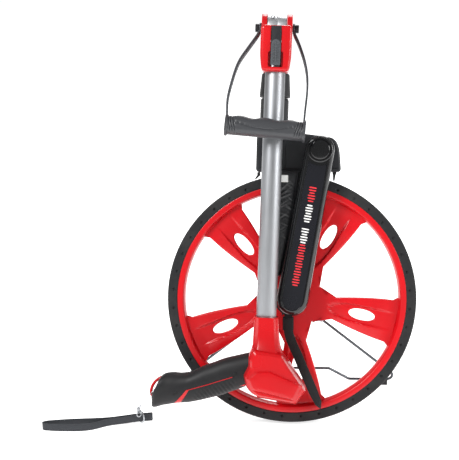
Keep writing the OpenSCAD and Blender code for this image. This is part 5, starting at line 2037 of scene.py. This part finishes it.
def studio() -> None:
    """Makes a plain pale floor, a bright even surround and three soft lights."""
    mesh = bpy.data.meshes.new("floor")
    reach = 14.0
    mesh.from_pydata([(-reach, -reach, 0), (reach, -reach, 0), (reach, reach, 0), (-reach, reach, 0)], [],
                     [(0, 1, 2, 3)])
    floor = bpy.data.objects.new("floor", mesh)
    bpy.context.scene.collection.objects.link(floor)
    g = Graph("pale_floor")
    g.feed(g.surface, {"Base Color": linear("fbfbfb"), "Roughness": 0.9, "Specular IOR Level": 0.1,
                       "Emission Color": linear("ffffff"), "Emission Strength": 0.7})
    mesh.materials.append(g.material)
    world = bpy.data.worlds.new("surround")
    world.use_nodes = True
    world.node_tree.nodes["Background"].inputs["Color"].default_value = linear("ffffff")
    world.node_tree.nodes["Background"].inputs["Strength"].default_value = 0.3
    bpy.context.scene.world = world
    bpy.context.scene.view_settings.view_transform = "Standard"
    for box in (Softbox("key", (-1.4, -1.3, 2.0), 0.9, 62), Softbox("side", (2.0, -0.9, 1.0), 0.9, 30),
                Softbox("back", (0.4, 1.6, 1.7), 1.2, 26)):
        box.build()


def hardware() -> None:
    """Eases the edges of the visible small parts, and gives the inner parts their finishes."""
    for node, finish, bevel in [
            ("arm_front_shell", BLACK_SHELL, 0.5), ("arm_rear_shell", BLACK_SHELL, 1.2),
            ("tyre_scrapers", BLACK_GRAIN, 0.4),
            ("wheel_bearings", ZINC, 0.4), ("axle", ZINC, 0.4), ("axle_nuts", ZINC, 0.5),
            ("stand_yoke", BLACK_STEEL, 0.6),
            ("stand_pin", ZINC, 0.4), ("crown_screws", BLACK_STEEL, 0.15), ("grip_screws", BLACK_STEEL, 0.15),
            ("arm_bolt_nut", ZINC, 0.4)]:
        eased(node, finish, bevel)
    for node, finish in [("encoder_ring", BLACK_GRAIN), ("arm_bolt", ZINC), ("sensor_board", GREEN_BOARD),
                         ("latch_pin", ZINC), ("latch_spring", ZINC), ("battery_cells", CELL)]:
        kept(node, finish)


def main() -> None:
    """Builds every sub-assembly in order, then the studio and the camera."""
    logging.basicConfig(level=logging.INFO, format="%(name)s: %(message)s")
    Shot().build(PLACE["stood"])
    Lanyard().build(PLACE["ground"])
    Tyre().build(PLACE["stood"])
    Wheel().build(PLACE["stood"])
    FrontArm().build(PLACE["arm"])
    Crown().build(PLACE["stood"])
    Pole().build(PLACE["pole"], PLACE["head"])
    Bail().build(PLACE["bail"])
    Head().build(PLACE["head"], PLACE["face"])
    Strap().build(PLACE["stood"])
    Stand().build(PLACE["stand"])
    hardware()
    studio()


if __name__ == "__main__":
    main()
